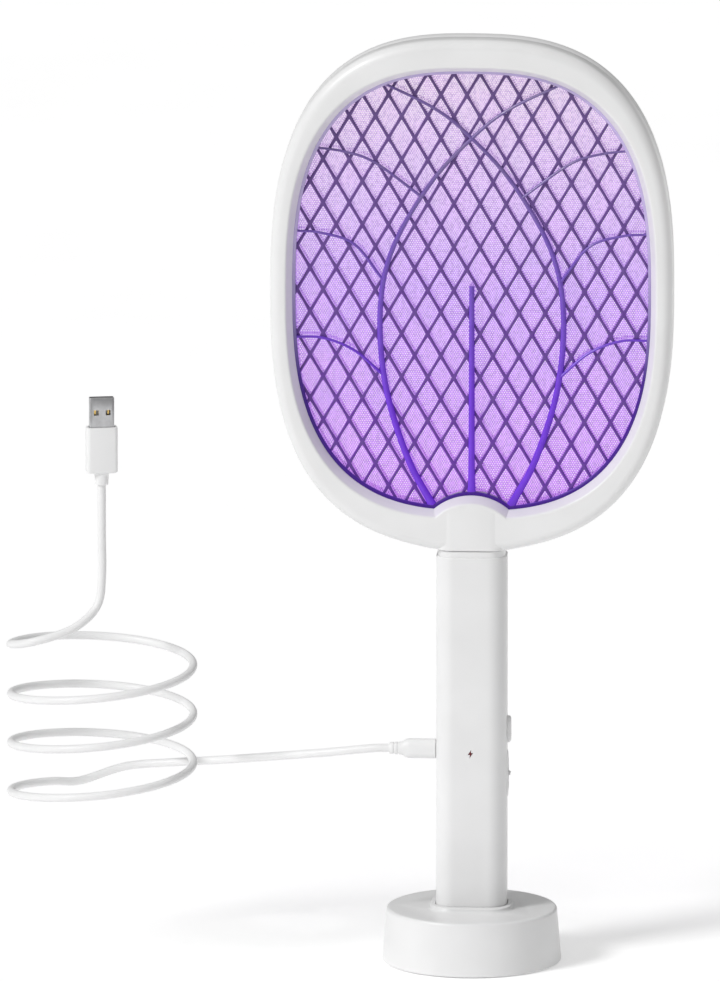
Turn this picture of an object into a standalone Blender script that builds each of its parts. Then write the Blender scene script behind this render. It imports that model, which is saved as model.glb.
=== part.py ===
"""Rechargeable electric fly swatter, standing in its weighted base with its charging cable plugged in.

Metres, +Z up. The origin is the centre of the base's underside. The swatter's front faces -Y,
its push button is on the +X side and its charging socket on the -X side. The head is a sandwich
about the plane Y = 0: every head layer on the front has a twin behind that plane.
"""

import math

import bmesh
import bpy
from mathutils import Matrix, Vector

MM = 0.001
GAP = 0.3 * MM  # clearance between neighbouring pieces
SPLIT = 0.15 * MM  # half the joint line between a front and a rear shell
FRONT = -1
REAR = 1

# head outline: a superellipse, with a round notch in the window where the neck comes in
POWER = 2.7
HEAD_Z = 333.5 * MM
HEAD_HALF_WIDTH = 97.9 * MM
HEAD_HALF_HEIGHT = 124.7 * MM
HEAD_HALF_DEPTH = 13 * MM
WINDOW_HALF_WIDTH = 87.3 * MM
WINDOW_HALF_HEIGHT = 108.6 * MM
NOTCH_RADIUS = 27.8 * MM
NOTCH_Z = 204.5 * MM
NECK_HALF_WIDTH = 18.3 * MM
NECK_FLARE = 3.2 * MM  # how far the head's outline is drawn down where it meets the neck
NECK_FLARE_REACH = 30 * MM
LIP_TIP = 6.4 * MM
LIP_UNDERSIDE = 5.6 * MM
BEVEL_WIDTH = 2.85 * MM
BODY_POINTS = 40  # outline points round the head, and across the notch
NOTCH_POINTS = 6

# head layers: distance from the middle plane, inner face then outer face
HV_LAYER = (-0.3 * MM, 0.3 * MM)
SPACER_LAYER = (0.6 * MM, 2.5 * MM)
GUARD_LAYER = (2.8 * MM, 3.6 * MM)
RIB_LAYER = (3.9 * MM, 5.3 * MM)
LAYER_OVERLAP = 3.2 * MM  # how far the layers reach under the frame's lip
RIM_WIDTH = 1.5 * MM  # how far the rib frame's rim shows inside the lip
LAMP_CLEARANCE = 0.6 * MM  # the live mesh and its spacers stop this far above the notch
CELL_WIDTH = 25.4 * MM
CELL_HEIGHT = 43.0 * MM
STRAND = 1.6 * MM

# handle
HANDLE_WIDTH = 34.4 * MM
HANDLE_DEPTH = 26 * MM
HANDLE_CORNER = 9 * MM
HANDLE_WALL = 2 * MM
HANDLE_BOTTOM = 7 * MM
HANDLE_TOP = 205.6 * MM
NECK_BOTTOM = HANDLE_TOP + GAP
NECK_DEPTH = 26.6 * MM
TONGUE_BOTTOM = 181.7 * MM
TONGUE_WALL = 2.2 * MM

# controls
BUTTON_Z = 115.3 * MM
BUTTON_HEIGHT = 13.4 * MM
BUTTON_WIDTH = 7 * MM
BUTTON_STANDS_OUT = 2 * MM
SLIDER_Z = 93.3 * MM
SLIDER_TRAVEL = 2 * MM  # each way from the middle position
SOCKET_Z = 105.0 * MM
INDICATOR_Z = 105.2 * MM
BOARD_BACK = 3.9 * MM
BOARD_FRONT = 2.3 * MM

# base
BASE_BOTTOM_RADIUS = 43.7 * MM
BASE_TOP_RADIUS = 41.5 * MM
BASE_HEIGHT = 25.6 * MM
BASE_WALL = 2.2 * MM
BASE_SCREW_CIRCLE = 34 * MM
SOCKET_WALL_WIDTH = 39.6 * MM
SOCKET_WALL_DEPTH = 31.2 * MM
SOCKET_RIM_HEIGHT = 3.4 * MM

# cable
CABLE_RADIUS = 2.05 * MM
COIL_X = -180.5 * MM
COIL_RADIUS = 44.4 * MM
COIL_TOP = 154.3 * MM
COIL_PITCH = 24.2 * MM
COIL_TURNS = 3
USB_BOTTOM = 234.4 * MM
USB_YAW = math.radians(12)

GUIDES = []
MATERIALS = {}


def colour(name, rgb, roughness, metallic=0.0):
    """The named Principled BSDF material, made on first use."""
    if name not in MATERIALS:
        made = bpy.data.materials.new(name)
        made.use_nodes = True
        shader = made.node_tree.nodes["Principled BSDF"]
        shader.inputs["Base Color"].default_value = (*rgb, 1.0)
        shader.inputs["Roughness"].default_value = roughness
        shader.inputs["Metallic"].default_value = metallic
        MATERIALS[name] = made
    return MATERIALS[name]


def white_plastic():
    return colour("white_plastic", (0.86, 0.86, 0.86), 0.35)


def grey_plastic():
    return colour("grey_plastic", (0.55, 0.56, 0.58), 0.45)


def violet_plastic():
    return colour("violet_plastic", (0.20, 0.07, 0.72), 0.35)


def mesh_metal():
    return colour("mesh_metal", (0.33, 0.20, 0.50), 0.35, 0.8)


def steel():
    return colour("steel", (0.62, 0.62, 0.64), 0.3, 1.0)


def gold():
    return colour("gold", (0.85, 0.66, 0.28), 0.3, 1.0)


def circuit_board():
    return colour("circuit_board", (0.05, 0.30, 0.14), 0.5)


def rubber(name="rubber", rgb=(0.08, 0.08, 0.08)):
    return colour(name, rgb, 0.8)


# ---------------------------------------------------------------- mesh helpers


def clear_scene():
    for item in list(bpy.data.objects):
        bpy.data.objects.remove(item, do_unlink=True)


def to_object(name, mesh_data, surface=None, smooth_angle=35):
    """Turns a bmesh into a named object, faces outwards, smooth except over its sharp edges."""
    bmesh.ops.recalc_face_normals(mesh_data, faces=mesh_data.faces[:])
    mesh = bpy.data.meshes.new(name)
    mesh_data.to_mesh(mesh)
    mesh_data.free()
    mesh.shade_smooth()
    mesh.set_sharp_from_angle(angle=math.radians(smooth_angle))
    made = bpy.data.objects.new(name, mesh)
    bpy.context.scene.collection.objects.link(made)
    if surface is not None:
        mesh.materials.append(surface)
    return made


def boolean(target, operation, tools):
    """Adds one Boolean modifier to target for each tool, a bmesh that becomes a hidden guide object."""
    for tool in tools:
        guide = to_object(f"guide_{len(GUIDES):03d}", tool)
        guide.hide_render = True
        guide.display_type = "WIRE"
        guide.parent = target
        GUIDES.append(guide)
        modifier = target.modifiers.new(guide.name, "BOOLEAN")
        modifier.operation = operation
        modifier.solver = "EXACT"
        modifier.object = guide
    return target


def cut(target, *tools):
    return boolean(target, "DIFFERENCE", tools)


def join(target, *tools):
    return boolean(target, "UNION", tools)


def oriented(u, v, w, axis):
    """The point at (u, v) across the axis and w along it."""
    if axis == "X":
        return Vector((w, u, v))
    if axis == "Y":
        return Vector((u, w, v))
    return Vector((u, v, w))


def skin(loops, closed):
    """A closed body through loops of equal length: a ring if closed, or else capped at both ends."""
    body = bmesh.new()
    rows = [[body.verts.new(point) for point in loop] for loop in loops]
    count = len(rows[0])
    pairs = list(zip(rows, rows[1:]))
    if closed:
        pairs.append((rows[-1], rows[0]))
    for low, high in pairs:
        for k in range(count):
            after = (k + 1) % count
            body.faces.new((low[k], low[after], high[after], high[k]))
    if not closed:
        body.faces.new(rows[0])
        body.faces.new(list(reversed(rows[-1])))
    return body


def prism(outline, low, high, axis="Z"):
    """A flat outline pushed from low to high along an axis."""
    loops = [[oriented(u, v, w, axis) for u, v in outline] for w in (low, high)]
    return skin(loops, closed=False)


def box(x, y, z):
    """A box from three (low, high) pairs."""
    outline = [(x[0], y[0]), (x[1], y[0]), (x[1], y[1]), (x[0], y[1])]
    return prism(outline, z[0], z[1])


def turned(profile, centre=(0, 0), axis="Z", segments=24):
    """A solid turned about an axis from (radius, distance along the axis) pairs."""
    loops = []
    for radius, along in profile:
        loop = []
        for k in range(segments):
            angle = 2 * math.pi * k / segments
            u = centre[0] + radius * math.cos(angle)
            v = centre[1] + radius * math.sin(angle)
            loop.append(oriented(u, v, along, axis))
        loops.append(loop)
    return skin(loops, closed=False)


def washer(inner, outer, low, high, segments=48):
    """A flat ring about the Z axis."""
    loops = []
    for radius, height in ((inner, low), (outer, low), (outer, high), (inner, high)):
        angles = [2 * math.pi * k / segments for k in range(segments)]
        loops.append([Vector((radius * math.cos(a), radius * math.sin(a), height)) for a in angles])
    return skin(loops, closed=True)


def rounded_rectangle(width, height, radius, steps=5, centre=(0, 0)):
    """Anticlockwise outline with round corners."""
    outline = []
    for side_u, side_v, start in ((1, 1, 0), (-1, 1, 90), (-1, -1, 180), (1, -1, 270)):
        for k in range(steps + 1):
            angle = math.radians(start + 90 * k / steps)
            u = centre[0] + side_u * (width / 2 - radius) + radius * math.cos(angle)
            v = centre[1] + side_v * (height / 2 - radius) + radius * math.sin(angle)
            if not outline or math.dist(outline[-1], (u, v)) > GAP / 10:
                outline.append((u, v))
    if math.dist(outline[0], outline[-1]) < GAP / 10:
        outline.pop()
    return outline


def half_section(width, depth, radius, side, split=SPLIT, steps=5):
    """The half of a rounded rectangle in front of (side -1) or behind (side 1) the split plane."""
    outline = [(width / 2, side * split)]
    for side_u, start in ((1, 0), (-1, 90)):
        for k in range(steps + 1):
            angle = math.radians(start + 90 * k / steps)
            u = side_u * (width / 2 - radius) + radius * math.cos(angle)
            v = side * (depth / 2 - radius + radius * math.sin(angle))
            outline.append((u, v))
    outline.append((-width / 2, side * split))
    return outline


def tube(path, radius, sides=8):
    """A round bar swept along a path, its section carried along without twisting."""
    points = [Vector(point) for point in path]
    tangent = (points[1] - points[0]).normalized()
    across = tangent.orthogonal().normalized()
    loops = []
    for k, point in enumerate(points):
        before = points[max(k - 1, 0)]
        after = points[min(k + 1, len(points) - 1)]
        tangent = (after - before).normalized()
        across = (across - tangent * across.dot(tangent)).normalized()
        up = tangent.cross(across)
        angles = [2 * math.pi * j / sides for j in range(sides)]
        loops.append([point + radius * (across * math.cos(a) + up * math.sin(a)) for a in angles])
    return skin(loops, closed=False)


def through(points, steps):
    """A smooth curve through the points (Catmull-Rom), with steps pieces in each span."""
    knots = [Vector(point) for point in points]
    knots = [2 * knots[0] - knots[1], *knots, 2 * knots[-1] - knots[-2]]
    curve = []
    for a, b, c, d in zip(knots, knots[1:], knots[2:], knots[3:]):
        for k in range(steps):
            t = k / steps
            bend = (2 * a - 5 * b + 4 * c - d) * t**2 + (3 * b - a - 3 * c + d) * t**3
            curve.append((2 * b + (c - a) * t + bend) / 2)
    curve.append(knots[-2])
    return curve


def parent_to(empty, objects):
    for item in objects:
        item.parent = empty


def axis_empty(name):
    """An empty at the origin that a moving group hangs on."""
    empty = bpy.data.objects.new(name, None)
    bpy.context.scene.collection.objects.link(empty)
    return empty


def set_origin(item, point):
    """Moves the object's origin to the point, leaving its shape and its guides where they are."""
    for each in (item, *item.children):
        each.data.transform(Matrix.Translation(-Vector(point)))
    item.location = point
    return item


# ---------------------------------------------------------------- head outlines


def ellipse_reach(x, half_width, half_height):
    """Height of the superellipse above its centre at x."""
    return half_height * max(0.0, 1 - (abs(x) / half_width) ** POWER) ** (1 / POWER)


def loop_around(half_width, half_height, corner_x, floor, body_points, neck_points):
    """Closed (x, z) loop: the superellipse from its right neck corner to its left one, then floor(x)."""
    reach = math.acos((corner_x / half_width) ** (POWER / 2))
    outline = []
    for k in range(body_points + 1):
        angle = -reach + (math.pi + 2 * reach) * k / body_points
        across = math.copysign(abs(math.cos(angle)) ** (2 / POWER), math.cos(angle))
        up = math.copysign(abs(math.sin(angle)) ** (2 / POWER), math.sin(angle))
        outline.append((half_width * across, HEAD_Z + half_height * up))
    for k in range(1, neck_points):
        x = -corner_x + 2 * corner_x * k / neck_points
        outline.append((x, floor(x)))
    return outline


def window_loop(grow, notch_grow=None, body_points=BODY_POINTS, neck_points=NOTCH_POINTS):
    """The window's outline, grown by a distance; its notch shrinks by the same or by notch_grow."""
    notch = NOTCH_RADIUS - (grow if notch_grow is None else notch_grow)
    half_width = WINDOW_HALF_WIDTH + grow
    half_height = WINDOW_HALF_HEIGHT + grow

    def on_notch(x):
        return NOTCH_Z + math.sqrt(notch**2 - x**2)

    low, high = 0.0, notch * 0.999
    for _ in range(50):
        middle = (low + high) / 2
        if on_notch(middle) > HEAD_Z - ellipse_reach(middle, half_width, half_height):
            low = middle
        else:
            high = middle
    return loop_around(half_width, half_height, low, on_notch, body_points, neck_points)


def outer_loop(inset, body_points=BODY_POINTS, neck_points=NOTCH_POINTS):
    """The head's outline, shrunk by a distance, with its lower edge drawn down towards the neck."""
    half_width = HEAD_HALF_WIDTH - inset
    half_height = HEAD_HALF_HEIGHT - inset

    def floor(x):
        return HEAD_Z - ellipse_reach(x, half_width, half_height)

    def flare(x, z):
        share = min(1.0, max(0.0, (HEAD_Z - z) / HEAD_HALF_HEIGHT))
        beyond = max(0.0, abs(x) - NECK_HALF_WIDTH)
        return NECK_FLARE * share * math.exp(-beyond / NECK_FLARE_REACH)

    outline = loop_around(half_width, half_height, NECK_HALF_WIDTH, floor, body_points, neck_points)
    return [(x, z - flare(x, z)) for x, z in outline]


def at_depth(outline, y):
    return [Vector((x, y, z)) for x, z in outline]


def layer_ring(inner, outer, layer, side):
    """A flat ring of the head sandwich between two outlines."""
    near, far = side * layer[0], side * layer[1]
    loops = [at_depth(outer, near), at_depth(inner, near), at_depth(inner, far), at_depth(outer, far)]
    return skin(loops, closed=True)


# ---------------------------------------------------------------- head frames

HEAD_SCREW_ANGLES = (62, 2, -50)
HEAD_SCREW_PATH = 6 * MM  # outside the window's edge
BOSS_RADIUS = 2.4 * MM
PILOT_RADIUS = 1.2 * MM
COUNTERBORE_RADIUS = 2.0 * MM
COUNTERBORE_FLOOR = 6 * MM
SCREW_HEAD_RADIUS = 1.7 * MM
SCREW_HEAD_HEIGHT = 1.8 * MM
SCREW_SHANK_RADIUS = 0.9 * MM


def head_screw_places():
    """(x, z) of the frame screws, down the right side and then the left."""
    places = []
    for side in (1, -1):
        for degrees in HEAD_SCREW_ANGLES:
            angle = math.radians(degrees)
            across = math.cos(angle) ** (2 / POWER)
            up = math.copysign(abs(math.sin(angle)) ** (2 / POWER), math.sin(angle))
            x = side * (WINDOW_HALF_WIDTH + HEAD_SCREW_PATH) * across
            places.append((x, HEAD_Z + (WINDOW_HALF_HEIGHT + HEAD_SCREW_PATH) * up))
    return places


def frame_section(side):
    """Loops round one half of the hollow head frame: bevel, face, outer wall, then back inside."""
    depth = HEAD_HALF_DEPTH
    wall = 2 * MM
    stations = (
        (window_loop(0), LIP_TIP),
        (window_loop(BEVEL_WIDTH), depth),
        (outer_loop(5 * MM), depth),
        (outer_loop(1.6 * MM), depth - 1.4 * MM),
        (outer_loop(0.2 * MM), depth - 4.4 * MM),
        (outer_loop(0), SPLIT),
        (outer_loop(wall), SPLIT),
        (outer_loop(wall + MM), depth - wall),
        (window_loop(BEVEL_WIDTH + 1.7 * MM), depth - wall),
        (window_loop(2 * MM), LIP_UNDERSIDE),
        (window_loop(0), LIP_UNDERSIDE),
    )
    return [at_depth(outline, side * y) for outline, y in stations]


def arch(half_width, radius, floor_z, steps=10):
    """(x, z) outline with straight sides and a round top about the notch's centre."""
    reach = math.asin(half_width / radius)
    outline = [(-half_width, floor_z), (half_width, floor_z)]
    for k in range(steps + 1):
        angle = reach - 2 * reach * k / steps
        outline.append((radius * math.sin(angle), NOTCH_Z + radius * math.cos(angle)))
    return outline


def neck_body(side):
    """The rounded neck that carries the handle's section up to the notch, as a guide for a union."""
    top = NOTCH_Z + NOTCH_RADIUS
    section = half_section(2 * NECK_HALF_WIDTH, NECK_DEPTH, HANDLE_CORNER, side)
    body = to_object(f"guide_neck_{'front' if side == FRONT else 'rear'}", prism(section, NECK_BOTTOM, top))
    body.hide_render = True
    body.display_type = "WIRE"
    bevel_top = NOTCH_RADIUS - BEVEL_WIDTH
    shape = prism(arch(NECK_HALF_WIDTH + MM, bevel_top, NECK_BOTTOM - MM), -NECK_DEPTH, NECK_DEPTH, "Y")
    boolean(body, "INTERSECT", [shape])
    return body


def head_frame(side):
    name = "head_front_frame" if side == FRONT else "head_rear_frame"
    frame = to_object(name, skin(frame_section(side), closed=True), white_plastic())
    union = frame.modifiers.new("neck", "BOOLEAN")
    union.operation = "UNION"
    union.solver = "EXACT"
    union.object = neck_body(side)

    tongue_width = HANDLE_WIDTH - 2 * HANDLE_WALL - 2 * GAP
    tongue_depth = HANDLE_DEPTH - 2 * HANDLE_WALL - 2 * GAP
    tongue_corner = HANDLE_CORNER - HANDLE_WALL - GAP
    tongue = half_section(tongue_width, tongue_depth, tongue_corner, side)
    join(frame, prism(tongue, TONGUE_BOTTOM, NECK_BOTTOM + 4 * MM))
    far = HEAD_HALF_DEPTH - MM
    for x, z in head_screw_places():
        ends = ((BOSS_RADIUS, side * SPLIT), (BOSS_RADIUS, side * far))
        join(frame, turned(ends, (x, z), "Y", 14))

    passage = rounded_rectangle(
        tongue_width - 2 * TONGUE_WALL, tongue_depth - 2 * TONGUE_WALL, tongue_corner - TONGUE_WALL
    )
    pocket = arch(14.5 * MM, 22.4 * MM, NECK_BOTTOM - MM)
    layer_room = LIP_UNDERSIDE - 0.1 * MM
    cut(
        frame,
        prism(passage, TONGUE_BOTTOM - MM, NECK_BOTTOM + 8 * MM),
        prism(pocket, -11 * MM, 11 * MM, "Y"),
        box((-22.5 * MM, 22.5 * MM), (-layer_room, layer_room), (215.2 * MM, 235.7 * MM)),
    )
    for x, z in head_screw_places():
        if side == FRONT:
            cut(frame, turned(((PILOT_RADIUS, -9.5 * MM), (PILOT_RADIUS, MM)), (x, z), "Y", 10))
        else:
            steps = (
                (PILOT_RADIUS, -MM),
                (PILOT_RADIUS, COUNTERBORE_FLOOR),
                (COUNTERBORE_RADIUS, COUNTERBORE_FLOOR),
                (COUNTERBORE_RADIUS, HEAD_HALF_DEPTH + MM),
            )
            cut(frame, turned(steps, (x, z), "Y", 14))
    clearance = HANDLE_BOSS_RADIUS + 0.5 * MM
    cut(frame, turned(((clearance, -20 * MM), (clearance, 20 * MM)), (0, UPPER_SCREW_Z), "Y", 16))
    return frame


def head_screws():
    screws = []
    for k, (x, z) in enumerate(head_screw_places(), 1):
        seat = COUNTERBORE_FLOOR + GAP
        profile = (
            (SCREW_SHANK_RADIUS, -8.5 * MM),
            (SCREW_SHANK_RADIUS, seat),
            (SCREW_HEAD_RADIUS, seat),
            (SCREW_HEAD_RADIUS, seat + 0.7 * SCREW_HEAD_HEIGHT),
            (SCREW_HEAD_RADIUS * 0.7, seat + SCREW_HEAD_HEIGHT),
        )
        screws.append(to_object(f"head_screw_{k}", turned(profile, (x, z), "Y", 10), steel()))
    return screws


# ---------------------------------------------------------------- head layers

MAIN_RIB = (
    (18.3, 225.7),
    (31.5, 251.2),
    (42.0, 286.7),
    (44.5, 323.7),
    (38.5, 353.7),
    (20.5, 385.7),
    (0.0, 408.7),
    (-18.0, 423.2),
    (-46.0, 437.0),
)
SIDE_RIBS = (
    ((79.0, 403.7), (62.0, 401.5), (47.0, 396.2), (24.5, 379.7)),
    ((86.0, 362.2), (73.0, 361.2), (57.0, 355.7), (43.5, 338.7)),
    ((86.0, 309.7), (72.0, 309.2), (57.0, 303.2), (43.0, 291.2)),
)
CENTRE_RIB = ((0.0, 230.7), (0.0, 283.7), (0.0, 335.7))
RIB_INSET = 0.05 * MM  # ribs stay this far inside the rim's faces


def rib(points, start_width, end_width, side, steps=2, mirror=1):
    """A flat bar along a curve given in millimetres, tapering from one width to the other."""
    curve = through([(mirror * x * MM, z * MM) for x, z in points], steps)
    near, far = side * (RIB_LAYER[0] + RIB_INSET), side * (RIB_LAYER[1] - RIB_INSET)
    loops = []
    for k, point in enumerate(curve):
        along = curve[min(k + 1, len(curve) - 1)] - curve[max(k - 1, 0)]
        normal = Vector((-along.y, along.x)).normalized()
        share = k / (len(curve) - 1)
        offset = normal * (start_width + (end_width - start_width) * share) / 2
        left, right = point + offset, point - offset
        corners = ((left, near), (right, near), (right, far), (left, far))
        loops.append([Vector((corner.x, y, corner.y)) for corner, y in corners])
    return skin(loops, closed=False)


def rib_frame(side):
    """Rim and curved ribs that keep fingers and the outer mesh off the live mesh."""
    name = "front_rib_frame" if side == FRONT else "rear_rib_frame"
    rim = layer_ring(window_loop(-RIM_WIDTH), window_loop(LAYER_OVERLAP), RIB_LAYER, side)
    frame = to_object(name, rim, violet_plastic())
    join(frame, rib(CENTRE_RIB, 3.2 * MM, 2.2 * MM, side))
    for mirror in (1, -1):
        join(frame, rib(MAIN_RIB, 3.4 * MM, 1.7 * MM, side, mirror=mirror))
        for points in SIDE_RIBS:
            join(frame, rib(points, 1.5 * MM, 1.8 * MM, side, mirror=mirror))
    return frame


def clipped(polygon, point, normal):
    """The part of a convex polygon on the side of the line that the normal points away from."""
    kept = []
    for start, end in zip(polygon, polygon[1:] + polygon[:1]):
        before, after = (start - point).dot(normal), (end - point).dot(normal)
        if before <= 0:
            kept.append(start)
        if before * after < 0:
            kept.append(start + (end - start) * before / (before - after))
    return kept


def area(polygon):
    pairs = zip(polygon, polygon[1:] + polygon[:1])
    return abs(sum(a.x * b.y - a.y * b.x for a, b in pairs)) / 2


SMALLEST_OPENING = 40 * MM**2
WINDOW_MARGIN = RIM_WIDTH + 0.5 * MM  # solid border between the openings and the window's edge
NOTCH_MARGIN = 3 * MM


def diamonds(phase):
    """The mesh's openings: diamonds on a staggered grid, trimmed to the window."""
    half_width, half_height = CELL_WIDTH / 2, CELL_HEIGHT / 2
    reach = half_width * half_height / math.hypot(half_width, half_height)
    shrink = (reach - STRAND / 2) / reach
    trimmed = (WINDOW_HALF_WIDTH - WINDOW_MARGIN, WINDOW_HALF_HEIGHT - WINDOW_MARGIN)
    edge = [Vector(point) for point in loop_around(*trimmed, 5 * MM, None, BODY_POINTS // 2, 1)]
    notch_top = NOTCH_Z + NOTCH_RADIUS + NOTCH_MARGIN
    columns = math.ceil(WINDOW_HALF_WIDTH / CELL_WIDTH) + 1
    rows = math.ceil(WINDOW_HALF_HEIGHT / half_height) + 1
    openings = []
    for row in range(-rows, rows + 1):
        for column in range(-columns, columns + 1):
            centre = Vector(((column + (row % 2) / 2 + phase) * CELL_WIDTH, HEAD_Z + row * half_height))
            corners = ((half_width, 0), (0, half_height), (-half_width, 0), (0, -half_height))
            cell = [centre + Vector(corner) * shrink for corner in corners]
            for start, end in zip(edge, edge[1:] + edge[:1]):
                outward = Vector((end.y - start.y, start.x - end.x))
                if cell:
                    cell = clipped(cell, start, outward)
            if cell and min(abs(p.x) for p in cell) < NOTCH_RADIUS:
                cell = clipped(cell, Vector((0, notch_top)), Vector((0, -1)))
            if len(cell) > 2 and area(cell) > SMALLEST_OPENING:
                openings.append([tuple(p) for p in cell])
    return openings


def mesh_plate(name, layer, side, phase, notch_grow=None):
    """An expanded-metal sheet: a plate with diamond openings."""
    near, far = side * layer[0], side * layer[1]
    outline = window_loop(LAYER_OVERLAP, notch_grow)
    sheet = to_object(name, prism(outline, near, far, "Y"), mesh_metal())
    holes = bmesh.new()
    for opening in diamonds(phase):
        piece = prism(opening, min(near, far) - MM, max(near, far) + MM, "Y")
        scrap = bpy.data.meshes.new("scrap")
        piece.to_mesh(scrap)
        piece.free()
        holes.from_mesh(scrap)
        bpy.data.meshes.remove(scrap)
    return cut(sheet, holes)


LED_BOARD_BOTTOM = 224.7 * MM
LED_BOARD_TOP = 226.3 * MM
LED_SPACING = 9 * MM
LED_RADIUS = 1.5 * MM
LED_HEIGHT = 4.6 * MM


def uv_light():
    """The lamp board in the notch, with three violet lamps that shine up between the meshes."""
    board = to_object(
        "uv_led_board",
        box((-13 * MM, 13 * MM), (-2.4 * MM, 2.4 * MM), (LED_BOARD_BOTTOM, LED_BOARD_TOP)),
        circuit_board(),
    )
    lamps = []
    seat = LED_BOARD_TOP + GAP
    for place, x in (("left", -LED_SPACING), ("centre", 0), ("right", LED_SPACING)):
        straight = seat + LED_HEIGHT - LED_RADIUS
        profile = [(LED_RADIUS, seat), (LED_RADIUS, straight)]
        for degrees in (30, 60):
            angle = math.radians(degrees)
            profile.append((LED_RADIUS * math.cos(angle), straight + LED_RADIUS * math.sin(angle)))
        lamp = turned(profile, (x, 0), "Z", 12)
        lamps.append(to_object(f"uv_led_{place}", lamp, colour("uv_lens", (0.62, 0.45, 1.0), 0.15)))
    return [board, *lamps]


def head_layers():
    """Rib frames, guard meshes, spacer rings and the live mesh, from both faces to the middle."""
    pieces = [rib_frame(FRONT), rib_frame(REAR)]
    pieces.append(mesh_plate("front_guard_mesh", GUARD_LAYER, FRONT, 0))
    pieces.append(mesh_plate("rear_guard_mesh", GUARD_LAYER, REAR, 0))
    pieces.append(mesh_plate("live_mesh", HV_LAYER, REAR, 0.25, -LAMP_CLEARANCE))
    inner = window_loop(0, -RIM_WIDTH)
    outer = window_loop(LAYER_OVERLAP, -LAMP_CLEARANCE)
    for side, name in ((FRONT, "front_spacer_ring"), (REAR, "rear_spacer_ring")):
        pieces.append(to_object(name, layer_ring(inner, outer, SPACER_LAYER, side), grey_plastic()))
    return pieces


# ---------------------------------------------------------------- handle

UPPER_SCREW_Z = 193.7 * MM
LOWER_SCREW_Z = 85.7 * MM
HANDLE_BOSS_RADIUS = 3.6 * MM
HANDLE_PILOT_RADIUS = 1.3 * MM
HANDLE_COUNTERBORE = 2.6 * MM
HANDLE_COUNTERBORE_FLOOR = 9 * MM
GROOVE_HEIGHT = 3.2 * MM
GROOVE_DEPTH = 0.8 * MM
FOOT_ROUND = 1.5 * MM
KNOB_HEIGHT = 11.4 * MM
KNOB_WIDTH = 5.8 * MM
SLIDER_OPENING = (KNOB_HEIGHT + 2 * SLIDER_TRAVEL + 2 * GAP, KNOB_WIDTH + 2 * GAP)
SLIDER_TRACK = (24 * MM, 10 * MM)
SLIDER_TRACK_HEIGHT = 0.6 * MM  # how far the track stands out from the wall
SLIDER_FLANGE = (20.8 * MM, 8 * MM)  # covers the opening at both ends of the travel
SOCKET_OPENING = (9.6 * MM, 3.8 * MM)
BOLT = ((0.4, 2.0), (-1.2, -0.4), (-0.2, -0.4), (-0.5, -2.0), (1.2, 0.5), (0.2, 0.5))


def side_pill(height, width, low_x, high_x, z):
    """A pill shape (height along Z, width along Y) pushed along X."""
    outline = rounded_rectangle(width, height, width / 2, 5, (0, z))
    return prism(outline, low_x, high_x, "X")


def handle_shell(side):
    name = "handle_front_shell" if side == FRONT else "handle_rear_shell"

    def section(inset):
        return half_section(
            HANDLE_WIDTH - 2 * inset, HANDLE_DEPTH - 2 * inset, HANDLE_CORNER - inset, side
        )

    stations = (
        (FOOT_ROUND, HANDLE_BOTTOM),
        (0, HANDLE_BOTTOM + FOOT_ROUND),
        (0, HANDLE_TOP - GROOVE_HEIGHT),
        (GROOVE_DEPTH, HANDLE_TOP - GROOVE_HEIGHT + 0.2 * MM),
        (GROOVE_DEPTH, HANDLE_TOP),
    )
    loops = [[Vector((x, y, z)) for x, y in section(inset)] for inset, z in stations]
    shell = to_object(name, skin(loops, closed=False), white_plastic())
    hollow = half_section(
        HANDLE_WIDTH - 2 * HANDLE_WALL,
        HANDLE_DEPTH - 2 * HANDLE_WALL,
        HANDLE_CORNER - HANDLE_WALL,
        side,
        split=-MM,
    )
    cut(shell, prism(hollow, HANDLE_BOTTOM + 2.5 * MM, HANDLE_TOP + MM))

    wall_x = HANDLE_WIDTH / 2
    join(shell, half_pill(SLIDER_TRACK, wall_x - MM, wall_x + SLIDER_TRACK_HEIGHT, SLIDER_Z, side))
    for z in (LOWER_SCREW_Z, UPPER_SCREW_Z):
        ends = ((HANDLE_BOSS_RADIUS, side * GAP), (HANDLE_BOSS_RADIUS, side * (HANDLE_DEPTH / 2 - MM)))
        join(shell, turned(ends, (0, z), "Y", 16))
        if side == FRONT:
            ends = ((HANDLE_PILOT_RADIUS, -10.5 * MM), (HANDLE_PILOT_RADIUS, MM))
        else:
            ends = (
                (HANDLE_PILOT_RADIUS, -MM),
                (HANDLE_PILOT_RADIUS, HANDLE_COUNTERBORE_FLOOR),
                (HANDLE_COUNTERBORE, HANDLE_COUNTERBORE_FLOOR),
                (HANDLE_COUNTERBORE, HANDLE_DEPTH / 2 + MM),
            )
        cut(shell, turned(ends, (0, z), "Y", 14))

    outside = wall_x + 2 * MM
    inside = wall_x - 4 * MM
    cut(
        shell,
        side_pill(BUTTON_HEIGHT + 2 * GAP, BUTTON_WIDTH + 2 * GAP, inside, outside, BUTTON_Z),
        side_pill(*SLIDER_OPENING, inside, outside, SLIDER_Z),
        side_pill(*SOCKET_OPENING, -outside, -inside, SOCKET_Z),
    )
    if side == FRONT:
        window = [(x * 1.1 * MM, INDICATOR_Z + z * 1.1 * MM) for x, z in BOLT]
        cut(shell, prism(window, -HANDLE_DEPTH / 2 - MM, -HANDLE_DEPTH / 2 + 4 * MM, "Y"))
    return shell


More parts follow.
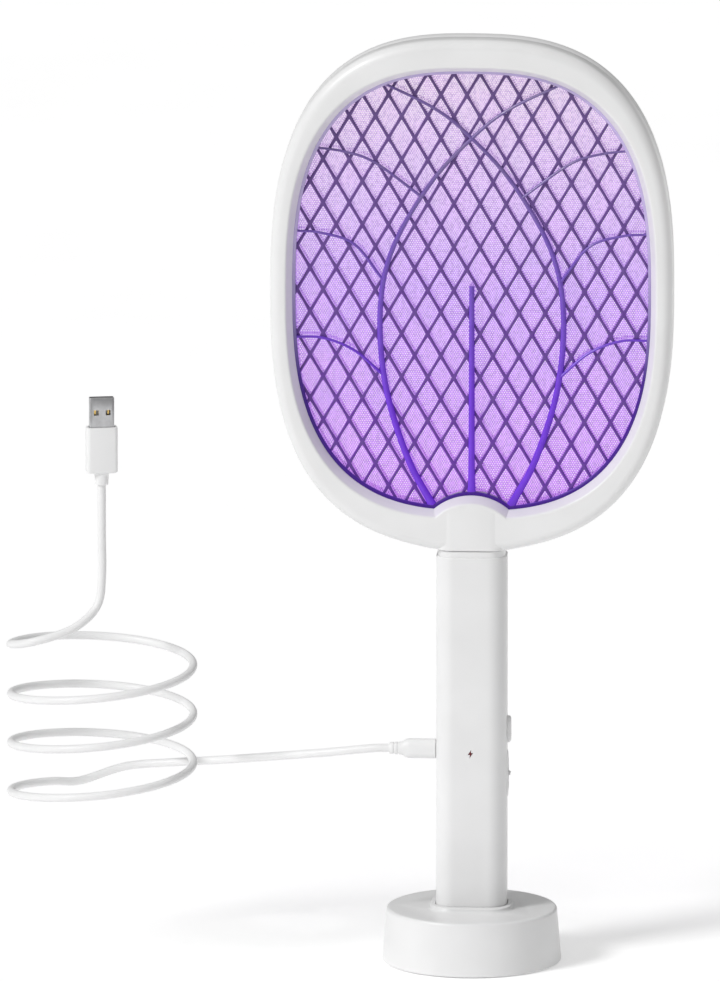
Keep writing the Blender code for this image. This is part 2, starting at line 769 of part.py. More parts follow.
def half_pill(size, low_x, high_x, z, side):
    """The half of a side pill on one side of the split plane, its edge sloping out to the wall."""
    height, width = size
    loops = []
    for inset, x in ((0, low_x), (0, high_x - 0.5 * MM), (1.5 * MM, high_x)):
        outline = rounded_rectangle(width - 2 * inset, height - 2 * inset, width / 2 - inset, 6, (0, z))
        kept = [(side * max(side * y, SPLIT), v) for y, v in outline if side * y > -GAP / 10]
        loops.append([Vector((x, y, v)) for y, v in kept])
    return skin(loops, closed=False)


def handle_screws():
    screws = []
    seat = HANDLE_COUNTERBORE_FLOOR + GAP
    for place, z in (("lower", LOWER_SCREW_Z), ("upper", UPPER_SCREW_Z)):
        profile = (
            (MM, -9 * MM),
            (MM, seat),
            (2.2 * MM, seat),
            (2.2 * MM, seat + 1.2 * MM),
            (1.5 * MM, seat + 1.8 * MM),
        )
        screws.append(to_object(f"handle_screw_{place}", turned(profile, (0, z), "Y", 12), steel()))
    return screws


# ---------------------------------------------------------------- electrics

CELL_RADIUS = 9.2 * MM
CELL_BOTTOM = 12 * MM
CELL_LENGTH = 65 * MM
BOARD_SIDES = (-13.5 * MM, 11.5 * MM)  # the +X edge stays clear of the pressed button
BOARD_BOTTOM = 90.7 * MM
BOARD_TOP = 177.7 * MM
SWITCH_Y = (-2.4 * MM, BOARD_FRONT - GAP)


def battery():
    top = CELL_BOTTOM + CELL_LENGTH
    profile = (
        (CELL_RADIUS - 0.5 * MM, CELL_BOTTOM),
        (CELL_RADIUS, CELL_BOTTOM + 0.5 * MM),
        (CELL_RADIUS, top - 0.5 * MM),
        (CELL_RADIUS - 0.5 * MM, top),
    )
    wrap = colour("cell_wrap", (0.1, 0.35, 0.7), 0.4)
    cell = to_object("battery_cell", turned(profile, segments=24), wrap)
    tabs = []
    for name, low in (("battery_tab_bottom", CELL_BOTTOM - 1.0 * MM), ("battery_tab_top", top + GAP)):
        tab = prism(rounded_rectangle(5 * MM, 14 * MM, MM, 2), low, low + 0.5 * MM)
        tabs.append(to_object(name, tab, steel()))
    return [cell, *tabs]


def control_board():
    board = box(BOARD_SIDES, (BOARD_FRONT, BOARD_BACK), (BOARD_BOTTOM, BOARD_TOP))
    return to_object("control_board", board, circuit_board())


TRANSFORMER_PLACE = (-3 * MM, 143.7 * MM)  # (x, z) of its centre on the board
CORE_SIZE = 16 * MM
CORE_WINDOW = 9.6 * MM
WINDING_SIZE = CORE_WINDOW - 2 * GAP
MOUNTED_BACK = BOARD_FRONT - GAP  # parts on the board's front start here
CORE_FRONT = -6 * MM
WINDING_FRONT = -7.5 * MM
CAPACITOR_PLACES = (("lower", 160.7 * MM), ("upper", 171.7 * MM))
CAPACITOR_SIZE = (15 * MM, 8 * MM)
CAPACITOR_FRONT = -5 * MM


def transformer():
    """Step-up transformer: a square ferrite ring round a taped winding."""
    loops = []
    stations = (
        (CORE_SIZE, CORE_FRONT),
        (CORE_WINDOW, CORE_FRONT),
        (CORE_WINDOW, MOUNTED_BACK),
        (CORE_SIZE, MOUNTED_BACK),
    )
    for size, y in stations:
        loops.append(at_depth(rounded_rectangle(size, size, 0.5 * MM, 1, TRANSFORMER_PLACE), y))
    ferrite = colour("ferrite", (0.12, 0.12, 0.13), 0.6)
    core = to_object("transformer_core", skin(loops, closed=True), ferrite)
    winding = rounded_rectangle(WINDING_SIZE, WINDING_SIZE, 2 * MM, 3, TRANSFORMER_PLACE)
    coil = prism(winding, WINDING_FRONT, MOUNTED_BACK, "Y")
    return [core, to_object("transformer_coil", coil, colour("winding_tape", (0.85, 0.70, 0.15), 0.5))]


def capacitors():
    """Two boxed film capacitors that hold the live mesh's charge."""
    pieces = []
    surface = colour("film_capacitor", (0.62, 0.12, 0.08), 0.45)
    for place, z in CAPACITOR_PLACES:
        outline = rounded_rectangle(*CAPACITOR_SIZE, 1.5 * MM, 3, (-MM, z))
        block = prism(outline, CAPACITOR_FRONT, MOUNTED_BACK, "Y")
        pieces.append(to_object(f"hv_capacitor_{place}", block, surface))
    return pieces


PLUNGER_Y = -0.2 * MM
PLUNGER_RADIUS = 1.2 * MM
SWITCH_FACE_X = 9.5 * MM
FLANGE_X = (13.4 * MM, 14.9 * MM)


def push_switch():
    """Momentary switch on the board: its housing, and the plunger that the button carries inwards."""
    housing = box((4.5 * MM, SWITCH_FACE_X), SWITCH_Y, (BUTTON_Z - 3.2 * MM, BUTTON_Z + 3.2 * MM))
    body = to_object("push_switch_body", housing, colour("switch_black", (0.06, 0.06, 0.07), 0.5))
    bore = PLUNGER_RADIUS + GAP
    ends = ((bore, 6.5 * MM), (bore, SWITCH_FACE_X + MM))
    cut(body, turned(ends, (PLUNGER_Y, BUTTON_Z), "X", 12))
    stem = ((PLUNGER_RADIUS, 8.3 * MM), (PLUNGER_RADIUS, FLANGE_X[0] - GAP))
    plunger = to_object(
        "push_switch_plunger", turned(stem, (PLUNGER_Y, BUTTON_Z), "X", 12), grey_plastic()
    )
    return body, set_origin(plunger, (stem[1][1], PLUNGER_Y, BUTTON_Z))


def button_spring():
    """Wound spring round the plunger that pushes the button back out."""
    turns, per_turn = 3, 10
    wire = 0.28 * MM
    start, end = SWITCH_FACE_X + 2 * wire, FLANGE_X[0] - 2 * wire
    coil = 2.3 * MM
    path = []
    for k in range(turns * per_turn + 1):
        angle = 2 * math.pi * k / per_turn
        x = start + (end - start) * k / (turns * per_turn)
        path.append((x, PLUNGER_Y + coil * math.cos(angle), BUTTON_Z + coil * math.sin(angle)))
    return to_object("button_spring", tube(path, wire, 5), steel())


def push_button():
    """Pill-shaped cap with a flange that stops it behind the handle's wall."""
    face = HANDLE_WIDTH / 2 + BUTTON_STANDS_OUT
    loops = []
    stations = (
        (0, FLANGE_X[1] - 0.5 * MM),
        (0, face - 1.2 * MM),
        (0.4 * MM, face - 0.4 * MM),
        (1.4 * MM, face),
    )
    for inset, x in stations:
        width, height = BUTTON_WIDTH - 2 * inset, BUTTON_HEIGHT - 2 * inset
        outline = rounded_rectangle(width, height, width / 2, 6, (0, BUTTON_Z))
        loops.append([Vector((x, y, z)) for y, z in outline])
    cap = to_object("push_button", skin(loops, closed=False), white_plastic())
    join(cap, side_pill(BUTTON_HEIGHT + 2.6 * MM, BUTTON_WIDTH + 2.6 * MM, *FLANGE_X, BUTTON_Z))
    return set_origin(cap, (face, 0, BUTTON_Z))


def slide_switch():
    """Three-position slide switch: its housing, and the knob that runs in the handle's track."""
    housing = box((6 * MM, 11 * MM), SWITCH_Y, (SLIDER_Z - 6 * MM, SLIDER_Z + 6 * MM))
    body = to_object("slide_switch_body", housing, colour("switch_black", (0.06, 0.06, 0.07), 0.5))
    slot = MM + SLIDER_TRAVEL + 4 * GAP
    cut(body, box((9.3 * MM, 12 * MM), (-1.5 * MM, 1.1 * MM), (SLIDER_Z - slot, SLIDER_Z + slot)))

    wall = HANDLE_WIDTH / 2
    cap = side_pill(KNOB_HEIGHT, KNOB_WIDTH, 14.5 * MM, wall + 0.2 * MM, SLIDER_Z)
    knob = to_object("slide_knob", cap, white_plastic())
    flange = rounded_rectangle(SLIDER_FLANGE[1], SLIDER_FLANGE[0], 2 * MM, 3, (0, SLIDER_Z))
    ridge = ((wall - MM, -1.4 * MM), (wall + 0.1 * MM, -1.4 * MM), (wall + 1.7 * MM, -0.3 * MM))
    ridge = ridge + tuple((x, -z) for x, z in reversed(ridge))
    ridge_loops = [[Vector((x, y, SLIDER_Z + z)) for x, z in ridge] for y in (-2.4 * MM, 2.4 * MM)]
    join(
        knob,
        prism(flange, 13.5 * MM, 14.9 * MM, "X"),
        skin(ridge_loops, closed=False),
        box((9.9 * MM, 14 * MM), (-1.2 * MM, 0.8 * MM), (SLIDER_Z - MM, SLIDER_Z + MM)),
    )
    return body, set_origin(knob, (wall, 0, SLIDER_Z))


def charge_socket():
    """Metal-shelled charging socket behind the opening in the handle's -X wall."""
    outline = rounded_rectangle(4 * MM, 9.8 * MM, 1.6 * MM, 4, (0, SOCKET_Z))
    shell = to_object("charge_socket", prism(outline, -14.9 * MM, -7.6 * MM, "X"), steel())
    opening = rounded_rectangle(3 * MM, 8.8 * MM, 1.4 * MM, 4, (0, SOCKET_Z))
    return cut(shell, prism(opening, -16 * MM, -8.5 * MM, "X"))


def indicator():
    """Charge lamp on the board, and the lens that carries its light to the bolt in the handle's face."""
    face = -HANDLE_DEPTH / 2
    bolt = [(x * 0.85 * MM, INDICATOR_Z + z * 0.85 * MM) for x, z in BOLT]
    red = colour("lens_red", (0.5, 0.05, 0.08), 0.2)
    lens = to_object("indicator_lens", prism(bolt, face - 0.05 * MM, face + 3 * MM, "Y"), red)
    stem = ((2.6 * MM, face + HANDLE_WALL + GAP), (2.6 * MM, -4 * MM))
    join(lens, turned(stem, (0, INDICATOR_Z), "Y", 14))
    lamp = box((-1.6 * MM, 1.6 * MM), (-3 * MM, BOARD_FRONT - GAP), (INDICATOR_Z - MM, INDICATOR_Z + MM))
    return [lens, to_object("indicator_led", lamp, colour("led_body", (0.9, 0.9, 0.8), 0.3))]


def leads():
    """Wires from the board through the neck: to the live mesh, a guard mesh and the lamp board."""
    wire = 0.7 * MM
    rim_z = 221.3
    routes = {
        "live_lead": ((8, 0, 169), (9, 0, 189), (9, 0, 209), (14, 0, 217), (21, 0, rim_z)),
        "guard_lead": ((-10.5, -1, 169), (-9, -2, 189), (-9, -3, 209), (-14, -3.2, 217), (-21, -3.2, rim_z)),
        "lamp_lead": ((4, 0.8, 180), (6, 3, 188), (6, 4, 200), (3, 2, 212), (0, 0, 218), (0, 0, 223.9)),
    }
    tints = {
        "live_lead": (0.75, 0.06, 0.05),
        "guard_lead": (0.05, 0.05, 0.06),
        "lamp_lead": (0.85, 0.85, 0.85),
    }
    wires = []
    for name, route in routes.items():
        curve = through([(x * MM, y * MM, z * MM) for x, y, z in route], 3)
        wires.append(to_object(name, tube(curve, wire, 6), rubber(f"{name}_skin", tints[name])))
    return wires


# ---------------------------------------------------------------- base

PLATE = (1.8 * MM, 4.4 * MM)
BASE_BOSS_RADIUS = 3 * MM
BASE_PILOT_RADIUS = 1.5 * MM
BASE_SCREW_ANGLES = (90, 210, 330)
WEIGHT_RADII = (22.6 * MM, 38.6 * MM)
WEIGHT_HEIGHT = 11 * MM
PAD_RADIUS = 40 * MM
PAD_THICKNESS = 1.5 * MM


def base_screw_places():
    angles = [math.radians(degrees) for degrees in BASE_SCREW_ANGLES]
    return [(BASE_SCREW_CIRCLE * math.cos(a), BASE_SCREW_CIRCLE * math.sin(a)) for a in angles]


def base_shell():
    """Tapered drum with the raised socket that the handle stands in."""
    foot = 0.6 * MM
    outside = (
        (BASE_BOTTOM_RADIUS, foot),
        (BASE_TOP_RADIUS, BASE_HEIGHT - 0.8 * MM),
        (BASE_TOP_RADIUS - 0.8 * MM, BASE_HEIGHT),
    )
    shell = to_object("base_shell", turned(outside, segments=48), white_plastic())
    ceiling = BASE_HEIGHT - BASE_WALL
    hollow = ((BASE_BOTTOM_RADIUS - BASE_WALL, foot - MM), (BASE_TOP_RADIUS - BASE_WALL, ceiling))
    cut(shell, turned(hollow, segments=48))
    corner = HANDLE_CORNER + 2.4 * MM
    wall = rounded_rectangle(SOCKET_WALL_WIDTH, SOCKET_WALL_DEPTH, corner)
    join(shell, prism(wall, PLATE[1] + GAP, BASE_HEIGHT + SOCKET_RIM_HEIGHT))
    for x, y in base_screw_places():
        ends = ((BASE_BOSS_RADIUS, PLATE[1] + GAP), (BASE_BOSS_RADIUS, ceiling + MM))
        join(shell, turned(ends, (x, y), segments=14))
    pocket = rounded_rectangle(HANDLE_WIDTH + 2 * GAP, HANDLE_DEPTH + 2 * GAP, HANDLE_CORNER + GAP)
    cut(shell, prism(pocket, HANDLE_BOTTOM - GAP, BASE_HEIGHT + 10 * MM))
    for x, y in base_screw_places():
        ends = ((BASE_PILOT_RADIUS, PLATE[0]), (BASE_PILOT_RADIUS, 15 * MM))
        cut(shell, turned(ends, (x, y), segments=12))
    return shell


def base_weight():
    """Iron ring round the socket, bored where the screw bosses pass through it."""
    low, high = PLATE[1] + GAP, PLATE[1] + GAP + WEIGHT_HEIGHT
    ring = to_object("base_weight", washer(*WEIGHT_RADII, low, high), steel())
    for x, y in base_screw_places():
        ends = ((BASE_BOSS_RADIUS + GAP, low - MM), (BASE_BOSS_RADIUS + GAP, high + MM))
        cut(ring, turned(ends, (x, y), segments=14))
    return ring


def base_plate():
    """Disc that closes the underside, with seats for the screw heads."""
    radius = BASE_BOTTOM_RADIUS - BASE_WALL - 2 * GAP
    disc = turned(((radius, PLATE[0]), (radius, PLATE[1])), segments=48)
    plate = to_object("base_bottom_plate", disc, white_plastic())
    for x, y in base_screw_places():
        hole = (
            (2.9 * MM, PLATE[0] - MM),
            (2.9 * MM, PLATE[0] + 1.4 * MM),
            (BASE_PILOT_RADIUS, PLATE[0] + 1.4 * MM),
            (BASE_PILOT_RADIUS, PLATE[1] + MM),
        )
        cut(plate, turned(hole, (x, y), segments=12))
    return plate


def foot_pad():
    profile = ((PAD_RADIUS - 0.3 * MM, 0), (PAD_RADIUS, 0.3 * MM), (PAD_RADIUS, PAD_THICKNESS))
    return to_object("base_foot_pad", turned(profile, segments=48), rubber())


def base_screws():
    screws = []
    for k, (x, y) in enumerate(base_screw_places(), 1):
        head_top = PLATE[0] + 1.1 * MM
        profile = (
            (2.6 * MM, PLATE[0] + 0.1 * MM),
            (2.6 * MM, head_top),
            (1.2 * MM, head_top),
            (1.2 * MM, 14 * MM),
        )
        screws.append(to_object(f"base_screw_{k}", turned(profile, (x, y), segments=12), steel()))
    return screws


# ---------------------------------------------------------------- charging cable

PLUG_FACE = -HANDLE_WIDTH / 2 - GAP
PLUG_BODY_LENGTH = 14.1 * MM
PLUG_SHOULDER = 2.9 * MM
PLUG_RELIEF_LENGTH = 5.8 * MM
PLUG_HEIGHT = 9.8 * MM
PLUG_DEPTH = 7 * MM
PLUG_END = PLUG_FACE - PLUG_BODY_LENGTH - PLUG_SHOULDER - PLUG_RELIEF_LENGTH
CABLE_SOCKET = 4 * MM  # how far the cable runs inside each strain relief
USB_RELIEF_LENGTH = 6 * MM
USB_BODY_LENGTH = 22.6 * MM
USB_WIDTH = 15.3 * MM
USB_DEPTH = 8 * MM
USB_FACE = USB_BOTTOM + USB_RELIEF_LENGTH + USB_BODY_LENGTH
USB_SHELL_WIDTH = 12 * MM
USB_SHELL_DEPTH = 4.5 * MM
USB_SHELL_WALL = 0.35 * MM
USB_SHELL_LENGTH = 14.6 * MM
USB_ROOT = 3.3 * MM


def oval_loop(width, height, radius, x):
    outline = rounded_rectangle(width, height, radius, 4, (0, SOCKET_Z))
    return [Vector((x, y, z)) for y, z in outline]


def charge_plug():
    """Plug at the handle: its moulded grip with a strain relief, and its metal tip."""
    body_end = PLUG_FACE - PLUG_BODY_LENGTH
    relief = body_end - PLUG_SHOULDER
    round_size = 6.3 * MM
    stations = (
        (PLUG_DEPTH - MM, PLUG_HEIGHT - MM, PLUG_FACE),
        (PLUG_DEPTH, PLUG_HEIGHT, PLUG_FACE - 0.5 * MM),
        (PLUG_DEPTH, PLUG_HEIGHT, body_end + 0.8 * MM),
        (PLUG_DEPTH - 0.4 * MM, PLUG_HEIGHT - 0.8 * MM, body_end),
        (round_size + 0.1 * MM, round_size + 1.2 * MM, relief),
        (round_size, round_size + 0.1 * MM, relief - 0.8 * MM),
        (round_size - 0.6 * MM, round_size - 0.5 * MM, PLUG_END),
    )
    loops = [oval_loop(width, height, width / 2 - 0.05 * MM, x) for width, height, x in stations]
    overmould = to_object("charge_plug_overmould", skin(loops, closed=False), white_plastic())
    root = rounded_rectangle(2.4 * MM + 2 * GAP, 8.2 * MM + 2 * GAP, 1.4 * MM, 4, (0, SOCKET_Z))
    bore = ((CABLE_RADIUS + GAP, PLUG_END - MM), (CABLE_RADIUS + GAP, PLUG_END + CABLE_SOCKET + GAP))
    cut(
        overmould,
        prism(root, PLUG_FACE - USB_ROOT, PLUG_FACE + MM, "X"),
        turned(bore, (0, SOCKET_Z), "X", 12),
    )
    tip = rounded_rectangle(2.4 * MM, 8.2 * MM, 1.1 * MM, 4, (0, SOCKET_Z))
    metal = prism(tip, PLUG_FACE - USB_ROOT + GAP, -8.9 * MM, "X")
    return [overmould, to_object("charge_plug_tip", metal, steel())]


def cable_path():
    """Centre line: down from the USB plug, three and a quarter loops, then across to the handle."""
    top = USB_BOTTOM + CABLE_SOCKET
    path = [Vector((COIL_X, 0, top)), Vector((COIL_X, 0, USB_BOTTOM - 6 * MM))]
    drop = [
        (COIL_X, 0, 208.7 * MM),
        (COIL_X, 0, 187.7 * MM),
        (COIL_X - 2.5 * MM, -2.5 * MM, 173.7 * MM),
        (COIL_X - 14 * MM, -10 * MM, 164.2 * MM),
        (COIL_X - 33 * MM, -13 * MM, 158.2 * MM),
    ]
    per_turn = 20
    coil = []
    for k in range(int(COIL_TURNS * per_turn) + 5):
        turn = k / per_turn
        angle = math.pi - 2 * math.pi * turn
        tilt = 1.0 * MM * (1 + math.cos(angle))
        x = COIL_X + COIL_RADIUS * math.cos(angle)
        coil.append((x, COIL_RADIUS * math.sin(angle), COIL_TOP - COIL_PITCH * turn + tilt))
    run = [
        (COIL_X + 8 * MM, 45.5 * MM, 84.2 * MM),
        (-150 * MM, 42 * MM, 87.2 * MM),
        (-125 * MM, 31 * MM, 91.2 * MM),
        (-100 * MM, 17 * MM, 96.2 * MM),
        (-72 * MM, 5 * MM, 101.2 * MM),
        (-50 * MM, 0.5 * MM, 104.5 * MM),
        (PLUG_END - 2 * MM, 0, SOCKET_Z),
    ]
    entry = through(drop + coil[:2], 3)
    leave = through(coil[-2:] + run, 3)
    path += entry[:-1] + [Vector(p) for p in coil[1:-1]] + leave[3:]
    path.append(Vector((PLUG_END + CABLE_SOCKET, 0, SOCKET_Z)))
    spaced = [path[0]]
    for point in path[1:]:
        if (point - spaced[-1]).length > MM:
            spaced.append(point)
    return spaced


def charge_cable():
    return to_object("charge_cable", tube(cable_path(), CABLE_RADIUS, 7), white_plastic())


def usb_plug():
    """Flat USB plug at the top of the cable, turned a little about its own axis."""

    def section(width, depth, radius, z):
        return [Vector((x, y, z)) for x, y in rounded_rectangle(width, depth, radius, 4)]

    body = USB_BOTTOM + USB_RELIEF_LENGTH
    stations = (
        (6.4 * MM, 6.0 * MM, 2.9 * MM, USB_BOTTOM),
        (7.5 * MM, 6.6 * MM, 3.0 * MM, body - 0.4 * MM),
        (USB_WIDTH - 2 * MM, USB_DEPTH - 1.2 * MM, 2.4 * MM, body),
        (USB_WIDTH, USB_DEPTH, 2.6 * MM, body + 1.2 * MM),
        (USB_WIDTH, USB_DEPTH, 2.0 * MM, USB_FACE - 0.5 * MM),
        (USB_WIDTH - 0.8 * MM, USB_DEPTH - 0.8 * MM, 1.6 * MM, USB_FACE),
    )
    grip = skin([section(*station) for station in stations], closed=False)
    overmould = to_object("usb_overmould", grip, white_plastic())
    pocket = rounded_rectangle(USB_SHELL_WIDTH + 2 * GAP, USB_SHELL_DEPTH + 2 * GAP, 0.5 * MM, 1)
    bore = ((CABLE_RADIUS + GAP, USB_BOTTOM - MM), (CABLE_RADIUS + GAP, USB_BOTTOM + CABLE_SOCKET + GAP))
    cut(overmould, prism(pocket, USB_FACE - USB_ROOT - GAP, USB_FACE + MM), turned(bore, segments=12))

    low, high = USB_FACE - USB_ROOT, USB_FACE + USB_SHELL_LENGTH
    outer = rounded_rectangle(USB_SHELL_WIDTH, USB_SHELL_DEPTH, 0.5 * MM, 1)
    inner = rounded_rectangle(
        USB_SHELL_WIDTH - 2 * USB_SHELL_WALL, USB_SHELL_DEPTH - 2 * USB_SHELL_WALL, 0.3 * MM, 1
    )
    corners = ((outer, low), (inner, low), (inner, high), (outer, high))
    loops = [[Vector((x, y, z)) for x, y in ring] for ring, z in corners]
    shell = to_object("usb_shell", skin(loops, closed=True), steel())
    latch_z = USB_FACE + 6 * MM
    for x in (-2.9 * MM, 2.9 * MM):
        cut(shell, box((x - 1.2 * MM, x + 1.2 * MM), (-5 * MM, 5 * MM), (latch_z, latch_z + 2.6 * MM)))

    tongue = box((-5.3 * MM, 5.3 * MM), (0.1 * MM, 1.6 * MM), (low, high - 1.2 * MM))
    pieces = [overmould, shell, to_object("usb_tongue", tongue, rubber())]
    for k in range(4):
        x = (k - 1.5) * 2.2 * MM
        strip = box((x - 0.5 * MM, x + 0.5 * MM), (-0.45 * MM, -0.2 * MM), (low, high - 2 * MM))
        pieces.append(to_object(f"usb_contact_{k + 1}", strip, gold()))
    holder = axis_empty("usb_plug_axis")
    holder.location = (COIL_X, 0, 0)
    holder.rotation_euler = (0, 0, USB_YAW)
    parent_to(holder, pieces)
    return holder


# ---------------------------------------------------------------- assembly


def build():
    clear_scene()
    base = [base_shell(), base_weight(), base_plate(), foot_pad(), *base_screws()]
    swatter = [head_frame(FRONT), head_frame(REAR), *head_screws(), *head_layers(), *uv_light()]
    swatter += [handle_shell(FRONT), handle_shell(REAR), *handle_screws(), *battery(), control_board()]
    swatter += [*transformer(), *capacitors(), charge_socket(), *indicator(), *leads(), button_spring()]
    switch_body, plunger = push_switch()
    slide_body, knob = slide_switch()
    swatter += [switch_body, slide_body]
    button = [push_button(), plunger]
    cable = [*charge_plug(), charge_cable(), usb_plug()]

    base_axis = axis_empty("base_axis")
    swatter_axis = axis_empty("swatter_axis")
    button_axis = axis_empty("button_axis")
    slider_axis = axis_empty("slider_axis")
    cable_axis = axis_empty("cable_axis")
    parent_to(base_axis, [*base, swatter_axis])
    parent_to(swatter_axis, [*swatter, button_axis, slider_axis, cable_axis])
    parent_to(button_axis, button)
    parent_to(slider_axis, [knob])
    parent_to(cable_axis, cable)


build()
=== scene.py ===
"""Looks of the rechargeable electric fly swatter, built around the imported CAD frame.

Metres, +Z up, in the CAD's frame: the swatter faces -Y, its button is on the +X side, and its
charging cable comes in from -X. Each piece that shows is modelled here in full detail and stands
for its CAD node. The electrics inside the handle keep their CAD meshes and get finished surfaces.
"""

import math

import bmesh
import bpy
import numpy as np
from mathutils import Matrix, Vector


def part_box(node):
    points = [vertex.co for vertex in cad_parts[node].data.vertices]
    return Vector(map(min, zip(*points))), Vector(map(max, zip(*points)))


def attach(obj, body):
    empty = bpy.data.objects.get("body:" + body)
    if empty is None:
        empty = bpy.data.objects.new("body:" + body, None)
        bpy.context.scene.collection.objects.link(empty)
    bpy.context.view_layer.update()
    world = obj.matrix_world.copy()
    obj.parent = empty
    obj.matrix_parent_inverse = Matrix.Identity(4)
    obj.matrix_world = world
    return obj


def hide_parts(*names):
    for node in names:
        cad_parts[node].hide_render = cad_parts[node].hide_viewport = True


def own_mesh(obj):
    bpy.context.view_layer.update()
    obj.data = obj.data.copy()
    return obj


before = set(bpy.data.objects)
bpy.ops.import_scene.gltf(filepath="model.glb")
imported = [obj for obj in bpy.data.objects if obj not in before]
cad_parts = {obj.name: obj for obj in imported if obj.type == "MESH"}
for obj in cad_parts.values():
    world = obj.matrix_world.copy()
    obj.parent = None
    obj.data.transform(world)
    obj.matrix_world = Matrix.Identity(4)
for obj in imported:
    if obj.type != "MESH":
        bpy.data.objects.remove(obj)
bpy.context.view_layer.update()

MM = 0.001
GAP = 0.3 * MM
SPLIT = 0.15 * MM
FRONT = -1
REAR = 1

# ---------------------------------------------------------------- sizes read from the frame

head_low, head_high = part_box("head_front_frame")
guard_low, guard_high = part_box("front_guard_mesh")
rib_low, rib_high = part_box("front_rib_frame")
live_low, live_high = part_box("live_mesh")
handle_low, handle_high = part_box("handle_front_shell")
base_low, base_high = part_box("base_shell")
plate_low, plate_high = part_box("base_bottom_plate")
pad_low, pad_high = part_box("base_foot_pad")
button_low, button_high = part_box("push_button")
knob_low, knob_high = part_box("slide_knob")
plug_low, plug_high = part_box("charge_plug_overmould")
tip_low, tip_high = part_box("charge_plug_tip")
usb_low, usb_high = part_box("usb_overmould")
shell_low, shell_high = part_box("usb_shell")
lens_low, lens_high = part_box("indicator_lens")

# head outline: a superellipse with a round notch where the neck comes in
POWER = 2.7
HEAD_HALF_WIDTH = head_high.x
HEAD_HALF_HEIGHT = 124.7 * MM
HEAD_Z = head_high.z - HEAD_HALF_HEIGHT
HEAD_HALF_DEPTH = 13 * MM
LAYER_OVERLAP = 3.2 * MM
WINDOW_HALF_WIDTH = guard_high.x - LAYER_OVERLAP
WINDOW_HALF_HEIGHT = guard_high.z - LAYER_OVERLAP - HEAD_Z
NOTCH_RADIUS = 27.8 * MM
NOTCH_Z = 204.5 * MM
NECK_HALF_WIDTH = 18.3 * MM
NECK_FLARE = 3.2 * MM
NECK_FLARE_REACH = 30 * MM
NECK_DEPTH = -2 * head_low.y
LIP_TIP = 6.4 * MM
LIP_UNDERSIDE = 5.6 * MM
BEVEL_WIDTH = 2.85 * MM
BODY_POINTS = 176
NOTCH_POINTS = 30
RIM_WIDTH = 1.5 * MM
LAMP_CLEARANCE = 0.6 * MM

# handle and its controls
HANDLE_WIDTH = -2 * handle_low.x
HANDLE_DEPTH = -2 * handle_low.y
HANDLE_CORNER = 9 * MM
HANDLE_WALL = 2 * MM
HANDLE_BOTTOM = handle_low.z
HANDLE_TOP = handle_high.z
NECK_BOTTOM = HANDLE_TOP + GAP
TONGUE_BOTTOM = head_low.z
BUTTON_Z = (button_low.z + button_high.z) / 2
BUTTON_HEIGHT = 13.4 * MM
BUTTON_WIDTH = 7 * MM
SLIDER_Z = (knob_low.z + knob_high.z) / 2
SOCKET_Z = (plug_low.z + plug_high.z) / 2
INDICATOR_Z = (lens_low.z + lens_high.z) / 2
UPPER_SCREW_Z = 193.7 * MM
LOWER_SCREW_Z = 85.7 * MM

# cable
CABLE_RADIUS = 2.05 * MM
COIL_X = (usb_low.x + usb_high.x) / 2
USB_YAW = math.radians(12)


# ---------------------------------------------------------------- surfaces


